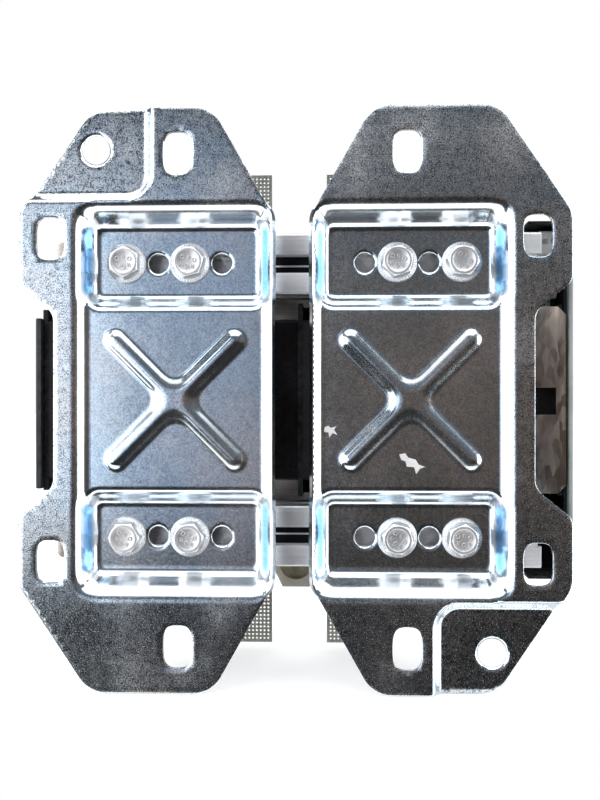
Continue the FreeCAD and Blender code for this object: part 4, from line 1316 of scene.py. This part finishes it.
    def build(self, bench: Bench) -> None:
        """Makes the eight bolts, each turned to a different angle as a spanner leaves them.

        Args:
            bench: where they are fitted.
        """
        points, faces = self.head()
        mark_points, mark_faces = self.marks()
        faces = faces + [tuple(len(points) + i for i in face) for face in mark_faces]
        plain = bench.mesh("flange_bolt", points + mark_points, faces)
        faced_out(plain)
        base = bench.finished(plain, 0.0)
        turns = iter(self.turns)
        for side in Side:
            for number, x in enumerate(self.fitted_x):
                for row, z in (("upper", self.row_z), ("lower", -self.row_z)):
                    mesh = base.copy()
                    place = Matrix.Translation((side.value * x * MM, 0.0, z * MM))
                    mesh.transform(place @ Matrix.Rotation(next(turns), 4, "Y"))
                    bench.fit(f"{side.label}_flange_bolt_{row}_{number + 1}", mesh, BOLT_ZINC, side.plate,
                              (f"{side.label}_plate_bolts",))


@dataclass
class LeafPanels:
    """The two perforated sheets: a fine square grid of six-sided holes inside a plain border."""

    pitch: float = 2.0
    hole_r: float = 0.62
    border: float = 0.9
    plain_r: float = 12.5
    foot: Pair = (47.5, -92.0)

    def build(self, bench: Bench) -> None:
        """Makes both sheets.

        Args:
            bench: where they are fitted.
        """
        for side in Side:
            node = f"{side.label}_leaf_panel"
            low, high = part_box(node)
            mesh = self.sheet(bench, node, low / MM, high / MM)
            bench.fit(f"perforated_{node}", mesh, LEAF_STEEL, side.leaf, (node,))

    def rim_faces(self, faces: list[Face], layer: int) -> list[Face]:
        """The faces that close the sheet's outer edge.

        Args:
            faces: the sheet's faces so far, which leave only the outer edge open.
            layer: how many grid points each side of the sheet has.

        Returns:
            One face for each open edge of the front.
        """
        open_edges: set[tuple[int, int]] = set()
        for face in faces:
            for edge in zip(face, (*face[1:], face[0])):
                if edge[::-1] in open_edges:
                    open_edges.remove(edge[::-1])
                else:
                    open_edges.add(edge)
        return [(b, a, a + layer, b + layer) for a, b in open_edges if a < layer and b < layer]

    def sheet(self, bench: Bench, name: str, low: Vector, high: Vector) -> Mesh:
        """One sheet.

        Args:
            bench: makes the mesh.
            name: the mesh's name.
            low: the sheet's lowest corner, in millimetres.
            high: its highest corner.

        Returns:
            The mesh.
        """
        count_x = int((high.x - low.x - 2 * self.border) / self.pitch)
        count_z = int((high.z - low.z - 2 * self.border) / self.pitch)
        start_x = (low.x + high.x - count_x * self.pitch) / 2.0
        start_z = (low.z + high.z - count_z * self.pitch) / 2.0
        lines_x = [low.x, *(start_x + self.pitch * i for i in range(count_x + 1)), high.x]
        lines_z = [low.z, *(start_z + self.pitch * i for i in range(count_z + 1)), high.z]
        wide, tall = len(lines_x), len(lines_z)
        points: list[Point] = [(x, y, z) for y in (low.y, high.y) for x in lines_x for z in lines_z]
        layer = wide * tall
        faces: list[Face] = []
        middle = Vector(((low.x + high.x) / 2.0, 0.0))
        pattern = (("s3", "s0", "h0"), ("s0", "h1", "h0"), ("s0", "s1", "h2", "h1"), ("s1", "h3", "h2"),
                   ("s1", "s2", "h3"), ("s2", "h4", "h3"), ("s2", "s3", "h5", "h4"), ("s3", "h0", "h5"))
        for i in range(wide - 1):
            for k in range(tall - 1):
                corner = {"s2": i * tall + k, "s3": (i + 1) * tall + k, "s0": (i + 1) * tall + k + 1,
                          "s1": i * tall + k + 1}
                centre = Vector(((lines_x[i] + lines_x[i + 1]) / 2.0, (lines_z[k] + lines_z[k + 1]) / 2.0))
                if abs(centre.x) > self.foot[0] - 0.5 and centre.y < self.foot[1] - 0.5:
                    continue
                at_rim = i in (0, wide - 2) or k in (0, tall - 2)
                if at_rim or (centre - middle).length < self.plain_r:
                    square = tuple(corner[key] for key in ("s0", "s1", "s2", "s3"))
                    faces.append(square)
                    faces.append(tuple(layer + v for v in reversed(square)))
                    continue
                hole = len(points)
                for y in (low.y, high.y):
                    points.extend((centre.x + self.hole_r * math.cos(math.pi * n / 3.0), y,
                                   centre.y + self.hole_r * math.sin(math.pi * n / 3.0)) for n in range(6))
                for face in pattern:
                    front = [corner[key] if key[0] == "s" else hole + int(key[1]) for key in face]
                    back = [corner[key] + layer if key[0] == "s" else hole + 6 + int(key[1]) for key in face]
                    faces.append(tuple(front))
                    faces.append(tuple(reversed(back)))
                pairs = [(hole + n, hole + (n + 1) % 6) for n in range(6)]
                faces.extend((a, b, b + 6, a + 6) for a, b in pairs)
        faces.extend(self.rim_faces(faces, layer))
        mesh = bench.mesh(name, points, faces)
        faced_out(mesh)
        return bench.finished(mesh, 0.0)


@dataclass
class ChassisParts:
    """Rails, tie plates, brackets, magnets and everything fixed to them: CAD shapes with rounded edges."""

    softened: tuple[tuple[str, Finish, float], ...] = (
        ("upper_rail", DRAWN_ALUMINIUM, 0.22), ("lower_rail", DRAWN_ALUMINIUM, 0.22),
        ("upper_tie_plate", STRIP_STEEL, 0.3), ("lower_tie_plate", STRIP_STEEL, 0.3),
        ("left_bracket", POWDER, 0.3), ("centre_bracket", POWDER, 0.3), ("right_bracket", POWDER, 0.3),
        ("left_magnet_housing", HOUSING_BLACK, 0.35), ("right_magnet_housing", HOUSING_BLACK, 0.35),
        ("left_magnet_core", LAMINATED, 0.2), ("right_magnet_core", LAMINATED, 0.2),
        ("left_potting", RESIN, 0.3), ("right_potting", RESIN, 0.3),
        ("left_end_cap", CAP_GREY, 0.25), ("control_tray", POWDER, 0.25), ("side_plate", GREY_PAINT, 0.3),
        ("wire_cover", GREY_PAINT, 0.25), ("strap_bracket", STRAP_ZINC, 0.3), ("cam_boss", CREAM_NYLON, 0.4),
        ("circuit_board", BOARD_GREEN, 0.1), ("terminal_block", WHITE_NYLON, 0.2),
        ("coil_connector", CREAM_NYLON, 0.2), ("relay", RELAY_CASE, 0.5), ("lead_clips", WHITE_NYLON, 0.2),
        ("tie_screws", BLACK_OXIDE, 0.15), ("small_screws", BLACK_OXIDE, 0.15),
    )
    dressed: tuple[tuple[str, Finish], ...] = (
        ("left_coil", COPPER), ("right_coil", COPPER), ("tie_slot_nuts", TURNED), ("board_standoffs", TURNED),
        ("coil_leads", SLEEVE), ("left_coil_lead", SLEEVE),
    )

    def build(self, bench: Bench) -> None:
        """Rounds and dresses the fixed pieces.

        Args:
            bench: where they are fitted.
        """
        for node, finish, edge in self.softened:
            bench.soften(node, finish, edge)
        for node, finish in self.dressed:
            bench.dress(node, finish)


@dataclass
class MovingParts:
    """Armatures, their hardware, slot nuts and the cam."""

    softened: tuple[tuple[str, Finish, float, int], ...] = (
        ("armature", GROUND, 0.5, 3), ("backing_bar", STRIP_STEEL, 0.4, 2),
        ("armature_bolt", BLACK_OXIDE, 0.3, 2), ("barrel_nut", TURNED, 0.3, 2),
        ("panel_screws", TURNED, 0.15, 2), ("slot_nuts", TURNED, 0.3, 2),
        ("rubber_washer", RUBBER, 0.8, 3), ("guide_pins", TURNED, 0.3, 2),
    )

    def build(self, bench: Bench) -> None:
        """Rounds and dresses the moving pieces.

        Args:
            bench: where they are fitted.
        """
        bench.soften("cam_stud", OLIVE, 0.25)
        for side in Side:
            for part, finish, edge, segments in self.softened:
                bench.soften(f"{side.label}_{part}", finish, edge, segments)
            for part in ("release_pin", "release_spring"):
                bench.dress(f"{side.label}_{part}", TURNED)


# ---- studio ----------------------------------------------------------------------------------------------
@dataclass(frozen=True)
class Softbox:
    """One rectangular light that faces a point."""

    name: str
    place: Point
    target: Point
    size: Pair
    glow: float
    colour: Colour = (1.0, 1.0, 1.0)

    def hang(self) -> None:
        """Adds the light to the scene, with a power that makes its brightness the glow."""
        data = bpy.data.lights.new(self.name, "AREA")
        data.shape = "RECTANGLE"
        data.size, data.size_y = self.size
        data.energy = self.glow * math.pi * self.size[0] * self.size[1]
        data.color = self.colour
        lamp = placed(self.name, data)
        lamp.location = self.place
        lamp.rotation_euler = (Vector(self.target) - Vector(self.place)).to_track_quat("-Z", "Y").to_euler()


@dataclass
class Studio:
    """The floor, the lights, the surrounding light and the camera."""

    lens: float = 44.64
    eye: Point = (0.0199, -0.4337, 0.0)
    turn: float = 0.0378
    floor_z: float = -0.1295
    room_low: Colour = (0.030, 0.027, 0.026)
    room_middle: Colour = (0.125, 0.094, 0.078)
    room_high: Colour = (0.115, 0.125, 0.14)
    softboxes: tuple[Softbox, ...] = (
        Softbox("front_left_card", (-0.74, -1.55, 0.06), (-0.74, 0.0, 0.06), (0.56, 0.70), 1.05,
                (0.86, 0.93, 1.0)),
        Softbox("front_centre_card", (-0.36, -1.56, 0.12), (-0.36, 0.0, 0.12), (0.5, 0.8), 0.36,
                (0.60, 0.74, 1.0)),
        Softbox("left_wall", (-1.00, -0.98, 0.05), (0.0, 0.03, 0.0), (0.74, 1.3), 2.0),
        Softbox("left_side", (-1.38, -0.22, 0.05), (0.0, 0.03, 0.0), (0.95, 2.4), 2.0, (0.93, 0.97, 1.0)),
        Softbox("right_wall", (1.28, -0.56, 0.05), (0.0, 0.03, 0.0), (0.45, 1.2), 2.0),
        Softbox("right_side", (1.38, -0.18, 0.05), (0.0, 0.03, 0.0), (0.9, 2.4), 2.0, (0.93, 0.97, 1.0)),
        Softbox("high_front", (0.0, -0.85, 1.10), (0.0, 0.0, 0.0), (1.6, 0.5), 1.5),
        Softbox("overhead", (0.0, -0.25, 1.35), (0.0, 0.0, 0.0), (2.8, 1.0), 2.1),
        Softbox("low_front", (0.0, -0.50, -1.20), (0.0, 0.0, 0.0), (2.6, 0.6), 1.6),
        Softbox("rear_fill", (0.0, 1.9, 1.1), (0.0, 0.0, 0.0), (2.4, 1.4), 1.6),
    )

    def build(self) -> None:
        """Sets up the whole studio."""
        for softbox in self.softboxes:
            softbox.hang()
        self.floor()
        self.surround()
        self.camera()
        bpy.context.scene.view_settings.view_transform = "Standard"
        LOG.info("studio set")

    def floor(self) -> None:
        """A broad pale floor just under the lock, whose far end glows for the camera alone."""
        mesh = bpy.data.meshes.new("studio_floor")
        corners = ((-6.0, 0.0), (6.0, 0.0), (6.0, 9.0), (-6.0, 9.0))
        mesh.from_pydata([(x, y, self.floor_z) for x, y in corners], [], [(0, 1, 2, 3)])
        floor = placed("studio_floor", mesh)
        material = bpy.data.materials.new("pale_floor")
        material.use_nodes = True
        net = Wiring(material.node_tree)
        shader = material.node_tree.nodes["Principled BSDF"]
        white = (1.0, 1.0, 1.0, 1.0)
        for name, value in (("Roughness", 0.9), ("Specular IOR Level", 0.1), ("Emission Color", white)):
            net.feed(shader.inputs[name], value)
        cloud = net.noise(net.place(), 3.0, 2.0)
        pale = net.mix(net.span(cloud, 0.3, 0.7), (0.93, 0.93, 0.93), (0.96, 0.96, 0.96))
        net.feed(shader.inputs["Base Color"], pale)
        seen = net.add("ShaderNodeLightPath").outputs["Is Camera Ray"]
        far = net.add("ShaderNodeSeparateXYZ", Vector=net.place()).outputs["Y"]
        glow = net.span(far, 0.2, 1.4, 0.5, 1.0)
        net.feed(shader.inputs["Emission Strength"], net.times(seen, glow))
        mesh.materials.append(material)

    def surround(self) -> None:
        """White behind the lock for the camera. What the lock mirrors is a dim room: bluish above, brown in
        the middle and darker below."""
        world = bpy.data.worlds.new("studio_room")
        world.use_nodes = True
        bpy.context.scene.world = world
        world.node_tree.nodes.clear()
        net = Wiring(world.node_tree)
        seen = net.add("ShaderNodeLightPath").outputs["Is Camera Ray"]
        where = net.add("ShaderNodeSeparateXYZ", Vector=net.add("ShaderNodeTexCoord").outputs["Generated"])
        level = where.outputs["Z"]
        room = net.mix(net.span(level, -0.20, -0.02), self.room_low, self.room_middle)
        room = net.mix(net.span(level, 0.06, 0.26), room, self.room_high)
        colour = net.mix(seen, room, (1.0, 1.0, 1.0))
        sky = net.add("ShaderNodeBackground", Color=colour, Strength=1.0)
        net.add("ShaderNodeOutputWorld", Surface=sky.outputs[0])

    def camera(self) -> None:
        """A camera level with the lock's middle, square on and a little to the right."""
        data = bpy.data.cameras.new("studio_camera")
        data.lens = self.lens
        data.sensor_width = 36.0
        data.clip_start = 0.01
        camera = placed("studio_camera", data)
        camera.location = self.eye
        camera.rotation_euler = (math.pi / 2.0, 0.0, self.turn)
        bpy.context.scene.camera = camera


def main() -> None:
    """Builds every sub-assembly in order."""
    logging.basicConfig(level=logging.INFO, format="%(name)s: %(message)s")
    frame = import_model()
    bench = Bench(frame)
    Studio().build()
    plates = MountingPlates()
    plates.build(bench)
    plates.specks(bench)
    FlangeBolts().build(bench)
    LeafPanels().build(bench)
    ChassisParts().build(bench)
    MovingParts().build(bench)


if __name__ == "__main__":
    main()
